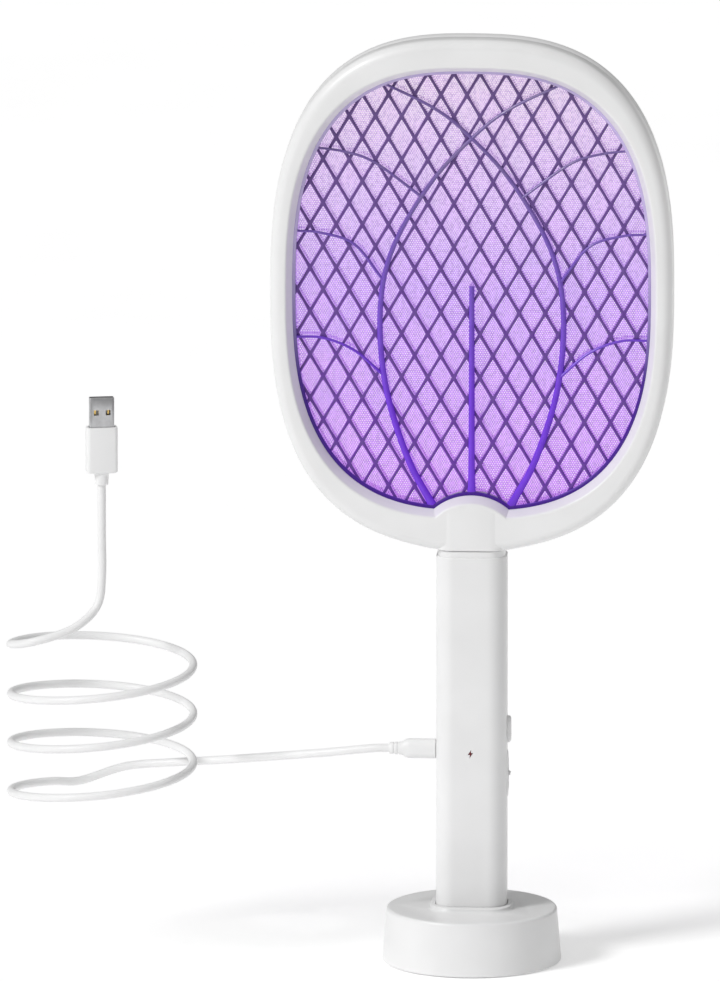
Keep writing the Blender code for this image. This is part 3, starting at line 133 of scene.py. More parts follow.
class Surface:
    """One material under construction: short calls that add nodes and link them."""

    def __init__(self, name):
        self.material = bpy.data.materials.new(name)
        self.material.use_nodes = True
        self.tree = self.material.node_tree
        self.shader = self.tree.nodes["Principled BSDF"]
        self.place = self.add("ShaderNodeTexCoord").outputs["Object"]

    def add(self, kind, **inputs):
        node = self.tree.nodes.new(kind)
        for key, value in inputs.items():
            socket = node.inputs[key.replace("_", " ")]
            if isinstance(value, bpy.types.NodeSocket):
                self.tree.links.new(value, socket)
            else:
                socket.default_value = value
        return node

    def set(self, socket, value):
        """Puts a value or another node's output into one of the shader's inputs."""
        target = self.shader.inputs[socket]
        if isinstance(value, bpy.types.NodeSocket):
            self.tree.links.new(value, target)
        else:
            target.default_value = value

    def noise(self, size, detail=3.0, stretch=(1, 1, 1), roughness=0.55):
        """Noise whose features are about size across, stretched along each axis."""
        place = self.add("ShaderNodeMapping", Vector=self.place)
        place.inputs["Scale"].default_value = [1 / share for share in stretch]
        made = self.add("ShaderNodeTexNoise", Vector=place.outputs["Vector"])
        made.inputs["Scale"].default_value = 1 / size
        made.inputs["Detail"].default_value = detail
        made.inputs["Roughness"].default_value = roughness
        return made.outputs["Fac"]

    def between(self, value, low, high, from_low=0.3, from_high=0.7):
        """Maps a value onto a range, held inside it."""
        made = self.add("ShaderNodeMapRange", Value=value)
        made.inputs["From Min"].default_value = from_low
        made.inputs["From Max"].default_value = from_high
        made.inputs["To Min"].default_value = low
        made.inputs["To Max"].default_value = high
        return made.outputs["Result"]

    def mix(self, share, first, second, blend="MIX"):
        made = self.tree.nodes.new("ShaderNodeMix")
        made.data_type = "RGBA"
        made.blend_type = blend
        for index, value in ((0, share), (6, first), (7, second)):
            if isinstance(value, bpy.types.NodeSocket):
                self.tree.links.new(value, made.inputs[index])
            elif index == 0:
                made.inputs[index].default_value = value
            else:
                made.inputs[index].default_value = (*value, 1.0)
        return made.outputs[2]

    def ramp(self, value, *stops):
        """A colour ramp from (position, colour) stops."""
        made = self.add("ShaderNodeValToRGB", Fac=value)
        elements = made.color_ramp.elements
        elements[0].position = stops[0][0]
        elements[0].color = (*stops[0][1], 1.0)
        elements[1].position = stops[-1][0]
        elements[1].color = (*stops[-1][1], 1.0)
        for position, colour in stops[1:-1]:
            elements.new(position).color = (*colour, 1.0)
        return made.outputs["Color"]

    def height(self, low, high):
        """0 at height low and 1 at height high."""
        split = self.add("ShaderNodeSeparateXYZ", Vector=self.place)
        return self.between(split.outputs["Z"], 0.0, 1.0, low, high)

    def compute(self, operation, first, second=0.5):
        made = self.add("ShaderNodeMath")
        made.operation = operation
        for socket, value in zip(made.inputs, (first, second)):
            if isinstance(value, bpy.types.NodeSocket):
                self.tree.links.new(value, socket)
            else:
                socket.default_value = value
        return made.outputs["Value"]

    def near_window_edge(self):
        """1 on the rim that follows the head's window and its notch, and 0 inside it."""
        split = self.add("ShaderNodeSeparateXYZ", Vector=self.place)
        across = self.compute("ABSOLUTE", split.outputs["X"])
        up = self.compute("ABSOLUTE", self.compute("SUBTRACT", split.outputs["Z"], HEAD_Z))
        across = self.compute("POWER", self.compute("DIVIDE", across, WINDOW_HALF_WIDTH - RIM_WIDTH), POWER)
        up = self.compute("POWER", self.compute("DIVIDE", up, WINDOW_HALF_HEIGHT - RIM_WIDTH), POWER)
        outside = self.between(self.compute("ADD", across, up), 0.0, 1.0, 0.995, 1.005)
        above = self.compute("SUBTRACT", split.outputs["Z"], NOTCH_Z)
        squares = [self.compute("MULTIPLY", value, value) for value in (split.outputs["X"], above)]
        distance = self.compute("SQRT", self.compute("ADD", *squares))
        notch = NOTCH_RADIUS + RIM_WIDTH
        return self.compute("MAXIMUM", outside, self.between(distance, 1.0, 0.0, notch, notch + 0.1 * MM))

    def bump(self, height, depth, strength=1.0):
        made = self.add("ShaderNodeBump", Height=height, Strength=strength, Distance=depth)
        self.set("Normal", made.outputs["Normal"])
        return made

    def edges(self):
        """About 1 on outside edges and 0 elsewhere."""
        sharp = self.add("ShaderNodeNewGeometry").outputs["Pointiness"]
        return self.between(sharp, 0.0, 1.0, 0.53, 0.62)


def shade_of(colour, factor):
    return tuple(min(1.0, channel * factor) for channel in colour)


def moulded(name, colour, roughness=0.34, grain=0.45 * MM, depth=0.012 * MM, variation=0.03, wear=0.25):
    """Moulded plastic: fine spark-eroded grain, slow colour drift, handling marks and polished edges."""
    made = Surface(name)
    drift = made.noise(38 * MM, 2)
    body = made.mix(
        made.between(drift, 0.0, 1.0), shade_of(colour, 1 - variation), shade_of(colour, 1 + variation)
    )
    body = made.mix(made.between(made.edges(), 0.0, wear, 0.0, 1.0), body, shade_of(colour, 1.08))
    made.set("Base Color", body)
    smears = made.noise(6 * MM, 4, (1, 1, 3))
    scratches = made.noise(0.8 * MM, 2, (1, 1, 18))
    rough = made.add("ShaderNodeMath", Value=made.between(smears, roughness - 0.05, roughness + 0.06))
    rough.operation = "ADD"
    made.tree.links.new(made.between(scratches, 0.0, 0.08, 0.62, 0.72), rough.inputs[1])
    made.set("Roughness", rough.outputs["Value"])
    made.set("IOR", 1.48)
    made.bump(made.noise(grain, 3), depth, 0.6)
    return made


def metal(name, colour, roughness=0.28, stretch=(1, 1, 24), depth=0.006 * MM, metallic=1.0):
    """Drawn or brushed metal: fine lines along one axis, with a little tarnish."""
    made = Surface(name)
    lines = made.noise(0.25 * MM, 4, stretch)
    stain = made.noise(5 * MM, 3)
    body = made.mix(made.between(stain, 0.0, 1.0), shade_of(colour, 0.86), shade_of(colour, 1.06))
    made.set("Base Color", body)
    made.set("Metallic", metallic)
    made.set("Roughness", made.between(lines, roughness - 0.08, roughness + 0.12))
    made.bump(lines, depth, 0.5)
    return made


def rubbery(name, colour, roughness=0.75, grain=0.6 * MM):
    made = moulded(name, colour, roughness, grain, 0.03 * MM, 0.12, 0.1)
    made.set("Sheen Weight", 0.15)
    return made


# colours that the lamps give the head, bottom to top
NET_BOTTOM = (0.47, 0.20, 0.74)
NET_MIDDLE = (0.43, 0.26, 0.72)
NET_TOP = (0.62, 0.52, 0.64)
NET_WIRE = (0.20, 0.12, 0.28)
STRAND_BOTTOM = (0.130, 0.025, 0.360)
STRAND_TOP = (0.120, 0.065, 0.210)
RIB_SHADED_FLANK = (0.100, 0.008, 0.470)
RIB_LIT = (0.155, 0.034, 0.620)
RIB_TOP = (0.160, 0.110, 0.270)
RIM_DEEP = (0.040, 0.003, 0.200)
RIM_PAINTED_REFLECTION = (0.480, 0.400, 0.660)


def glowing_net():
    """Live mesh: bright drawn wire with the violet lamps' light painted on as its own glow, stronger near them."""
    made = Surface("live_mesh_wire_painted_glow")
    # Painted light: the wire gives off the lamps' violet light itself, from bottom to top, lighter in painted patches
    # and darker at flecks.
    up = made.height(HEAD_Z - WINDOW_HALF_HEIGHT, HEAD_Z + WINDOW_HALF_HEIGHT)
    glow = made.ramp(up, (0.05, NET_BOTTOM), (0.5, NET_MIDDLE), (0.95, NET_TOP))
    patch = made.between(made.noise(17 * MM, 2), 0.0, 1.0)
    glow = made.mix(made.between(patch, 0.0, 0.22, 0.0, 1.0), glow, (0.66, 0.30, 0.70))
    fleck = made.between(made.noise(1.8 * MM, 2), 0.0, 1.0, 0.45, 0.6)
    glow = made.mix(made.between(fleck, 0.0, 0.4, 0.0, 1.0), glow, shade_of(NET_MIDDLE, 0.45))
    made.set("Base Color", made.mix(made.between(patch, 0.0, 0.5, 0.0, 1.0), NET_WIRE, shade_of(NET_WIRE, 1.3)))
    made.set("Metallic", 0.2)
    made.set("Roughness", made.between(made.noise(0.7 * MM, 3), 0.3, 0.5))
    made.set("Emission Color", glow)
    made.set("Emission Strength", 1.0)
    made.bump(made.noise(0.3 * MM, 2), 0.01 * MM, 0.4)
    return made


def guard_metal():
    """Guard mesh: lacquered expanded metal, with the lamps' violet light painted into its colour towards the neck."""
    made = Surface("guard_mesh_metal_painted_light")
    up = made.height(HEAD_Z - WINDOW_HALF_HEIGHT, HEAD_Z + WINDOW_HALF_HEIGHT)
    # Painted lamp light: the strands are violet near the neck and greyer towards the top.
    body = made.ramp(up, (0.0, STRAND_BOTTOM), (1.0, STRAND_TOP))
    # Painted highlights: patches of the strands are lightened towards lavender.
    painted_highlights = made.between(made.noise(2.4 * MM, 4), 0.0, 1.0, 0.35, 0.7)
    body = made.mix(painted_highlights, body, made.mix(0.5, body, (0.16, 0.10, 0.30)))
    made.set("Base Color", body)
    made.set("Metallic", 0.25)
    made.set("Roughness", made.between(made.noise(1.2 * MM, 3), 0.38, 0.58))
    made.bump(made.noise(0.5 * MM, 3), 0.02 * MM, 0.5)
    return made


def rib_plastic():
    """Violet plastic of the rib frame, painted lighter on the flanks that face the lamps and darker on the others, with
    the lamps' glow painted on near the neck.
    """
    made = Surface("rib_frame_plastic_painted_light")
    up = made.height(HEAD_Z - WINDOW_HALF_HEIGHT, HEAD_Z + WINDOW_HALF_HEIGHT)
    normal = made.add("ShaderNodeNewGeometry").outputs["True Normal"]
    across = made.add("ShaderNodeSeparateXYZ", Vector=normal).outputs["X"]
    # Painted light and shade: flanks turned one way get the lit colour, the others the shaded one.
    flank = made.between(across, 1.0, 0.0, -0.45, 0.45)
    body = made.mix(flank, RIB_SHADED_FLANK, RIB_LIT)
    # Painted lamp light: the violet fades to a greyer colour towards the top, away from the lamps.
    body = made.mix(made.between(up, 0.0, 1.0, 0.25, 0.8), body, RIB_TOP)
    cloud = made.between(made.noise(7 * MM, 3), 0.0, 0.3)
    body = made.mix(cloud, body, shade_of(RIB_SHADED_FLANK, 0.8))
    # The rim is dark at the bottom and pale at the top, where the pale is a painted reflection.
    rim = made.mix(made.between(up, 0.0, 1.0, 0.3, 0.62), RIM_DEEP, RIM_PAINTED_REFLECTION)
    body = made.mix(made.near_window_edge(), body, rim)
    made.set("Base Color", body)
    made.set("Roughness", made.between(made.noise(1.5 * MM, 3), 0.28, 0.42))
    # Painted glow: the ribs give off their own colour as light, strongest near the neck where the lamps are.
    made.set("Emission Color", body)
    made.set("Emission Strength", made.between(up, 0.28, 0.08, 0.0, 0.7))
    made.bump(made.noise(0.4 * MM, 3), 0.012 * MM, 0.5)
    return made


def bolt_lens():
    """Dark red lens of the charge lamp, faintly lit from inside."""
    made = Surface("indicator_lens_red")
    body = made.mix(made.between(made.noise(0.5 * MM, 3), 0.0, 1.0), (0.075, 0.006, 0.010), (0.16, 0.012, 0.02))
    made.set("Base Color", body)
    made.set("Roughness", made.between(made.noise(0.4 * MM, 2), 0.1, 0.2))
    made.set("Emission Color", (0.6, 0.02, 0.04, 1.0))
    made.set("Emission Strength", 0.03)
    made.bump(made.noise(0.2 * MM, 2), 0.005 * MM, 0.3)
    return made


def lamp_glass():
    """Violet lamp: clear epoxy with a bright core towards its tip."""
    made = Surface("uv_lamp_epoxy")
    glow = made.height(226.6 * MM, 231.2 * MM)
    made.set("Base Color", made.mix(glow, (0.5, 0.35, 0.95), (0.85, 0.75, 1.0)))
    made.set("Roughness", made.between(made.noise(0.6 * MM, 2), 0.08, 0.18))
    made.set("Emission Color", (0.45, 0.2, 1.0, 1.0))
    made.set("Emission Strength", made.between(glow, 2.0, 6.0, 0.0, 1.0))
    return made


def board_surface():
    """Circuit board: green solder mask over tracks, with tinned pads."""
    made = Surface("circuit_board_mask")
    tracks = made.add("ShaderNodeTexVoronoi", Vector=made.place)
    tracks.feature = "DISTANCE_TO_EDGE"
    tracks.inputs["Scale"].default_value = 1 / (4.5 * MM)
    line = made.between(tracks.outputs["Distance"], 1.0, 0.0, 0.04, 0.07)
    body = made.mix(line, (0.012, 0.115, 0.045), (0.03, 0.22, 0.08))
    pads = made.add("ShaderNodeTexVoronoi", Vector=made.place)
    pads.inputs["Scale"].default_value = 1 / (5.5 * MM)
    dot = made.between(pads.outputs["Distance"], 1.0, 0.0, 0.14, 0.17)
    made.set("Base Color", made.mix(dot, body, (0.62, 0.60, 0.55)))
    made.set("Metallic", dot)
    made.set("Roughness", made.between(made.noise(3 * MM, 3), 0.3, 0.45))
    made.bump(line, 0.03 * MM, 0.5)
    return made


def wrapped(name, colour, band, pitch):
    """Wrap or tape wound in bands along Z, with overlaps that catch the light."""
    made = Surface(name)
    wave = made.add("ShaderNodeTexWave", Vector=made.place)
    wave.bands_direction = "Z"
    wave.inputs["Scale"].default_value = 1 / pitch / 3.18
    wave.inputs["Distortion"].default_value = 0.4
    stripe = made.between(wave.outputs["Fac"], 0.0, 1.0, 0.85, 0.97)
    made.set("Base Color", made.mix(stripe, colour, band))
    made.set("Roughness", made.between(made.noise(2 * MM, 3), 0.25, 0.42))
    made.bump(wave.outputs["Fac"], 0.05 * MM, 0.5)
    return made


def flecked(name, colour, fleck, size, roughness):
    """Pressed or potted body with darker and lighter flecks."""
    made = Surface(name)
    spots = made.noise(size, 5, roughness=0.7)
    made.set("Base Color", made.mix(made.between(spots, 0.0, 1.0, 0.42, 0.62), colour, fleck))
    made.set("Roughness", made.between(spots, roughness - 0.06, roughness + 0.1))
    made.bump(spots, 0.03 * MM, 0.6)
    return made


WHITE = (0.79, 0.79, 0.79)
SURFACES = {
    "white_plastic": moulded("white_abs", WHITE),
    "button_white": moulded("button_white_abs", shade_of(WHITE, 0.97), 0.28, 0.35 * MM),
    "cable_white": moulded("cable_white_tpe", shade_of(WHITE, 1.06), 0.42, 0.5 * MM, 0.015 * MM, 0.02, 0.1),
    "grey_plastic": moulded("grey_abs", (0.42, 0.43, 0.45), 0.45),
    "violet_plastic": rib_plastic(),
    "mesh_metal": guard_metal(),
    "net_metal": glowing_net(),
    "uv_lens": lamp_glass(),
    "steel": metal("zinc_plated_steel", (0.58, 0.58, 0.60), 0.32),
    "usb_steel": metal("stamped_steel", (0.60, 0.60, 0.61), 0.36, (1, 1, 30)),
    "iron_weight": flecked("cast_iron_disc", (0.10, 0.10, 0.105), (0.19, 0.185, 0.18), 0.9 * MM, 0.6),
    "foot_rubber": rubbery("foot_foam_rubber", (0.035, 0.035, 0.038)),
    "cell_wrap": wrapped("cell_shrink_wrap", (0.02, 0.09, 0.36), (0.10, 0.22, 0.55), 21 * MM),
    "circuit_board": board_surface(),
    "ferrite": flecked("ferrite_core", (0.025, 0.025, 0.028), (0.07, 0.07, 0.075), 0.4 * MM, 0.62),
    "winding_tape": wrapped("yellow_winding_tape", (0.62, 0.42, 0.03), (0.42, 0.26, 0.02), 1.6 * MM),
    "film_capacitor": flecked("red_epoxy_film", (0.34, 0.03, 0.015), (0.42, 0.06, 0.03), 1.2 * MM, 0.3),
    "switch_black": moulded("switch_black_nylon", (0.02, 0.02, 0.022), 0.42, 0.4 * MM, 0.015 * MM, 0.15, 0.4),
    "contact_gold": metal("gold_flash", (0.83, 0.58, 0.20), 0.26, (1, 1, 14)),
    "lens_red": bolt_lens(),
    "led_body": flecked("led_ceramic", (0.74, 0.72, 0.60), (0.80, 0.78, 0.68), 0.5 * MM, 0.3),
    "lead_red": rubbery("wire_skin_red", (0.45, 0.012, 0.01), 0.5),
    "lead_black": rubbery("wire_skin_black", (0.015, 0.015, 0.017), 0.5),
    "lead_white": rubbery("wire_skin_white", (0.66, 0.66, 0.64), 0.5),
    "tongue_white": moulded("usb_tongue_nylon", (0.70, 0.70, 0.69), 0.4),
}


# ---------------------------------------------------------------- mesh helpers


def shade(mesh, angle=32):
    mesh.shade_smooth()
    mesh.set_sharp_from_angle(angle=math.radians(angle))


def to_object(name, body, angle=32):
    """Turns a bmesh into a linked object with its faces outwards."""
    bmesh.ops.recalc_face_normals(body, faces=body.faces[:])
    mesh = bpy.data.meshes.new(name)
    body.to_mesh(mesh)
    body.free()
    shade(mesh, angle)
    made = bpy.data.objects.new(name, mesh)
    bpy.context.scene.collection.objects.link(made)
    return made


def apply_modifiers(target, angle=32):
    graph = bpy.context.evaluated_depsgraph_get()
    done = bpy.data.meshes.new_from_object(target.evaluated_get(graph), depsgraph=graph)
    target.modifiers.clear()
    target.data = done
    return target


def carve(target, operation, *bodies, solver="EXACT"):
    """Applies one Boolean for each body (a bmesh), in order, and removes the tools."""
    tools = []
    for body in bodies:
        tool = to_object("tool", body)
        modifier = target.modifiers.new("carve", "BOOLEAN")
        modifier.operation = operation
        modifier.solver = solver
        modifier.object = tool
        tools.append(tool)
    apply_modifiers(target)
    for tool in tools:
        bpy.data.objects.remove(tool)
    shade(target.data)
    return target


def together(*bodies):
    """One bmesh that holds several bodies which don't touch."""
    whole = bmesh.new()
    for body in bodies:
        scrap = bpy.data.meshes.new("scrap")
        body.to_mesh(scrap)
        body.free()
        whole.from_mesh(scrap)
        bpy.data.meshes.remove(scrap)
    return whole


def soften(target, width, segments=2, angle=35):
    """Rounds every edge sharper than the angle."""
    bevel = target.modifiers.new("soften", "BEVEL")
    bevel.width = width
    bevel.segments = segments
    bevel.limit_method = "ANGLE"
    bevel.angle_limit = math.radians(angle)
    bevel.harden_normals = True
    bevel.miter_outer = "MITER_ARC"
    apply_modifiers(target)
    return target


def mirrored(target, name):
    """A copy of an object reflected in the plane Y = 0."""
    mesh = target.data.copy()
    mesh.transform(Matrix.Scale(-1, 4, (0, 1, 0)))
    mesh.flip_normals()
    made = bpy.data.objects.new(name, mesh)
    bpy.context.scene.collection.objects.link(made)
    return made


def finished(target, body, surface, slot, *nodes):
    """Gives a piece its material and body, and lets it stand for its CAD nodes. The slot argument is not used."""
    target.data.materials.clear()
    target.data.materials.append(SURFACES[surface].material)
    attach(target, body)
    if nodes:
        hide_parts(*nodes)
    return target


def oriented(u, v, w, axis):
    """The point at (u, v) across the axis and w along it."""
    if axis == "X":
        return Vector((w, u, v))
    if axis == "Y":
        return Vector((u, w, v))
    return Vector((u, v, w))


def skin(loops, closed):
    """A closed body through loops of equal length: a ring if closed, or else capped at both ends."""
    body = bmesh.new()
    rows = [[body.verts.new(point) for point in loop] for loop in loops]
    count = len(rows[0])
    pairs = list(zip(rows, rows[1:]))
    if closed:
        pairs.append((rows[-1], rows[0]))
    for low, high in pairs:
        for k in range(count):
            after = (k + 1) % count
            body.faces.new((low[k], low[after], high[after], high[k]))
    if not closed:
        body.faces.new(rows[0])
        body.faces.new(list(reversed(rows[-1])))
    return body


def prism(outline, low, high, axis="Z"):
    loops = [[oriented(u, v, w, axis) for u, v in outline] for w in (low, high)]
    return skin(loops, closed=False)


def box(x, y, z):
    outline = [(x[0], y[0]), (x[1], y[0]), (x[1], y[1]), (x[0], y[1])]
    return prism(outline, z[0], z[1])


def turned(profile, centre=(0, 0), axis="Z", segments=32):
    """A solid turned about an axis from (radius, distance along the axis) pairs."""
    loops = []
    for radius, along in profile:
        loop = []
        for k in range(segments):
            angle = 2 * math.pi * k / segments
            u = centre[0] + radius * math.cos(angle)
            v = centre[1] + radius * math.sin(angle)
            loop.append(oriented(u, v, along, axis))
        loops.append(loop)
    return skin(loops, closed=False)


def filleted(points, reaches, steps=4):
    """An open polyline with its corners rounded: each corner is cut back by its reach."""
    path = [Vector(points[0])]
    for before, corner, after, reach in zip(points, points[1:], points[2:], reaches):
        before, corner, after = Vector(before), Vector(corner), Vector(after)
        if reach <= 0:
            path.append(corner)
            continue
        start = corner + (before - corner).normalized() * reach
        end = corner + (after - corner).normalized() * reach
        for k in range(steps + 1):
            t = k / steps
            path.append((1 - t) ** 2 * start + 2 * t * (1 - t) * corner + t**2 * end)
    path.append(Vector(points[-1]))
    return [tuple(point) for point in path]


def rounded_rectangle(width, height, radius, steps=10, centre=(0, 0)):
    """Anticlockwise outline with round corners."""
    outline = []
    for side_u, side_v, start in ((1, 1, 0), (-1, 1, 90), (-1, -1, 180), (1, -1, 270)):
        for k in range(steps + 1):
            angle = math.radians(start + 90 * k / steps)
            u = centre[0] + side_u * (width / 2 - radius) + radius * math.cos(angle)
            v = centre[1] + side_v * (height / 2 - radius) + radius * math.sin(angle)
            if not outline or math.dist(outline[-1], (u, v)) > GAP / 20:
                outline.append((u, v))
    if math.dist(outline[0], outline[-1]) < GAP / 20:
        outline.pop()
    return outline


def half_section(width, depth, radius, side, split=SPLIT, steps=14):
    """The half of a rounded rectangle in front of (side -1) or behind (side 1) the split plane."""
    outline = [(width / 2, side * split)]
    for side_u, start in ((1, 0), (-1, 90)):
        for k in range(steps + 1):
            angle = math.radians(start + 90 * k / steps)
            u = side_u * (width / 2 - radius) + radius * math.cos(angle)
            v = side * (depth / 2 - radius + radius * math.sin(angle))
            outline.append((u, v))
    outline.append((-width / 2, side * split))
    return outline


def sweep(path, section_at, closed=False):
    """Loops of a section carried along a path without twisting; section_at(k) gives (u, v) pairs."""
    points = [Vector(point) for point in path]
    tangent = (points[1] - points[0]).normalized()
    across = tangent.orthogonal().normalized()
    loops = []
    for k, point in enumerate(points):
        before = points[max(k - 1, 0)]
        after = points[min(k + 1, len(points) - 1)]
        tangent = (after - before).normalized()
        across = (across - tangent * across.dot(tangent)).normalized()
        up = tangent.cross(across)
        loops.append([point + u * across + v * up for u, v in section_at(k)])
    return skin(loops, closed)


def circle(radius, sides):
    angles = [2 * math.pi * j / sides for j in range(sides)]
    return [(radius * math.cos(a), radius * math.sin(a)) for a in angles]


def through(points, steps):
    """A smooth curve through the points (Catmull-Rom), with steps pieces in each span."""
    knots = [Vector(point) for point in points]
    knots = [2 * knots[0] - knots[1], *knots, 2 * knots[-1] - knots[-2]]
    curve = []
    for a, b, c, d in zip(knots, knots[1:], knots[2:], knots[3:]):
        for k in range(steps):
            t = k / steps
            bend = (2 * a - 5 * b + 4 * c - d) * t**2 + (3 * b - a - 3 * c + d) * t**3
            curve.append((2 * b + (c - a) * t + bend) / 2)
    curve.append(knots[-2])
    return curve


# ---------------------------------------------------------------- head outlines


def ellipse_reach(x, half_width, half_height):
    """Height of the superellipse above its centre at x."""
    return half_height * max(0.0, 1 - (abs(x) / half_width) ** POWER) ** (1 / POWER)


def loop_around(half_width, half_height, corner_x, floor, body_points, neck_points):
    """Closed (x, z) loop: the superellipse from its right neck corner round to its left one, then floor(x)."""
    reach = math.acos((corner_x / half_width) ** (POWER / 2))
    outline = []
    for k in range(body_points + 1):
        angle = -reach + (math.pi + 2 * reach) * k / body_points
        across = math.copysign(abs(math.cos(angle)) ** (2 / POWER), math.cos(angle))
        up = math.copysign(abs(math.sin(angle)) ** (2 / POWER), math.sin(angle))
        outline.append((half_width * across, HEAD_Z + half_height * up))
    for k in range(1, neck_points):
        x = -corner_x + 2 * corner_x * k / neck_points
        outline.append((x, floor(x)))
    return outline


def window_loop(grow, body_points=BODY_POINTS, neck_points=NOTCH_POINTS):
    """The window's outline, grown by a distance; the notch's circle shrinks by the same amount."""
    notch = NOTCH_RADIUS - grow
    half_width = WINDOW_HALF_WIDTH + grow
    half_height = WINDOW_HALF_HEIGHT + grow

    def on_notch(x):
        return NOTCH_Z + math.sqrt(notch**2 - x**2)

    low, high = 0.0, notch * 0.999
    for _ in range(50):
        middle = (low + high) / 2
        if on_notch(middle) > HEAD_Z - ellipse_reach(middle, half_width, half_height):
            low = middle
        else:
            high = middle
    return loop_around(half_width, half_height, low, on_notch, body_points, neck_points)


def outer_loop(inset, body_points=BODY_POINTS, neck_points=NOTCH_POINTS):
    """The head's outline, shrunk by a distance, with its lower edge drawn down towards the neck."""
    half_width = HEAD_HALF_WIDTH - inset
    half_height = HEAD_HALF_HEIGHT - inset

    def floor(x):
        return HEAD_Z - ellipse_reach(x, half_width, half_height)

    def flare(x, z):
        share = min(1.0, max(0.0, (HEAD_Z - z) / HEAD_HALF_HEIGHT))
        beyond = max(0.0, abs(x) - NECK_HALF_WIDTH)
        return NECK_FLARE * share * math.exp(-beyond / NECK_FLARE_REACH)

    outline = loop_around(half_width, half_height, NECK_HALF_WIDTH, floor, body_points, neck_points)
    return [(x, z - flare(x, z)) for x, z in outline]


def at_depth(outline, y):
    return [Vector((x, y, z)) for x, z in outline]


# ---------------------------------------------------------------- head frames

HEAD_SCREW_ANGLES = (62, 2, -50)
HEAD_SCREW_PATH = 6 * MM
COUNTERBORE_RADIUS = 2.0 * MM
COUNTERBORE_FLOOR = 6 * MM
EDGE_ROUND = 5 * MM  # width and depth of the frame's rounded outer edge
PAD_FLANK = 3 * MM  # how far the neck pad's flank slopes in before it is flat
SEAM_DEPTH = 0.9 * MM  # depth of the open groove along the seam; behind it the halves all but meet
SEAM_GAP = 0.02 * MM


def head_screw_places():
    """(x, z) of the frame screws, down the right side and then the left."""
    places = []
    for side in (1, -1):
        for degrees in HEAD_SCREW_ANGLES:
            angle = math.radians(degrees)
            across = math.cos(angle) ** (2 / POWER)
            up = math.copysign(abs(math.sin(angle)) ** (2 / POWER), math.sin(angle))
            x = side * (WINDOW_HALF_WIDTH + HEAD_SCREW_PATH) * across
            places.append((x, HEAD_Z + (WINDOW_HALF_HEIGHT + HEAD_SCREW_PATH) * up))
    return places


def frame_section(side):
    """Loops round one half of the hollow head frame: lip, bevel, face, rounded edge, then back inside."""
    depth, wall = HEAD_HALF_DEPTH, 2 * MM
    lip = filleted(
        (
            (2 * MM, LIP_UNDERSIDE),
            (0, LIP_UNDERSIDE),
            (0, LIP_TIP),
            (BEVEL_WIDTH, depth),
            (BEVEL_WIDTH + 1.3 * MM, depth),
        ),
        (0.25 * MM, 0.35 * MM, 0.9 * MM),
    )
    stations = [(window_loop(grow), y) for grow, y in lip]
    for k in range(13):
        turn = math.pi / 2 * k / 12
        inset = EDGE_ROUND * (1 - math.sin(turn))
        stations.append((outer_loop(inset), depth - EDGE_ROUND * (1 - math.cos(turn))))
    stations += [
        (outer_loop(0), SPLIT + 0.3 * MM),
        (outer_loop(0.1 * MM), SPLIT + 0.1 * MM),
        (outer_loop(0.3 * MM), SPLIT),
        (outer_loop(SEAM_DEPTH), SPLIT),
        (outer_loop(SEAM_DEPTH), SEAM_GAP),
        (outer_loop(wall), SEAM_GAP),
        (outer_loop(wall + MM), depth - wall),
        (window_loop(BEVEL_WIDTH + 1.7 * MM), depth - wall),
    ]
    return [at_depth(outline, side * y) for outline, y in stations]


def arch(half_width, radius, floor_z, steps=24):
    """(x, z) outline with straight sides and a round top about the notch's centre."""
    reach = math.asin(half_width / radius)
    outline = [(-half_width, floor_z), (half_width, floor_z)]
    for k in range(steps + 1):
        angle = reach - 2 * reach * k / steps
        outline.append((radius * math.sin(angle), NOTCH_Z + radius * math.cos(angle)))
    return outline


def neck_body(side):
    """The neck: the handle's rounded section, shaped to an arch whose flank rises softly off the face."""
    top = NOTCH_Z + NOTCH_RADIUS
    loops = []
    for inset, z in ((0.9, 0), (0.35, 0.2), (0.08, 0.6), (0, 1.1)):
        section = half_section(
            2 * (NECK_HALF_WIDTH - inset * MM), NECK_DEPTH - 2 * inset * MM, HANDLE_CORNER - inset * MM, side
        )
        loops.append([Vector((x, y, NECK_BOTTOM + z * MM)) for x, y in section])
    loops.append([Vector((point.x, point.y, top)) for point in loops[-1]])
    neck = to_object("neck", skin(loops, closed=False))
    radius = NOTCH_RADIUS - BEVEL_WIDTH
    rise = NECK_DEPTH / 2 - HEAD_HALF_DEPTH
    depths = ((0, -MM), (0, HEAD_HALF_DEPTH - rise), (0.35, HEAD_HALF_DEPTH), (0.75, HEAD_HALF_DEPTH + rise * 0.6))
    loops = []
    for share, y in (*depths, (1, NECK_DEPTH / 2 + 0.1 * MM)):
        inset = PAD_FLANK * share
        outline = arch(NECK_HALF_WIDTH + MM - inset * 0.4, radius - inset, NECK_BOTTOM - MM)
        loops.append(at_depth(outline, side * y))
    carve(neck, "INTERSECT", skin(loops, closed=False))
    body = bmesh.new()
    body.from_mesh(neck.data)
    bpy.data.objects.remove(neck)
    return body


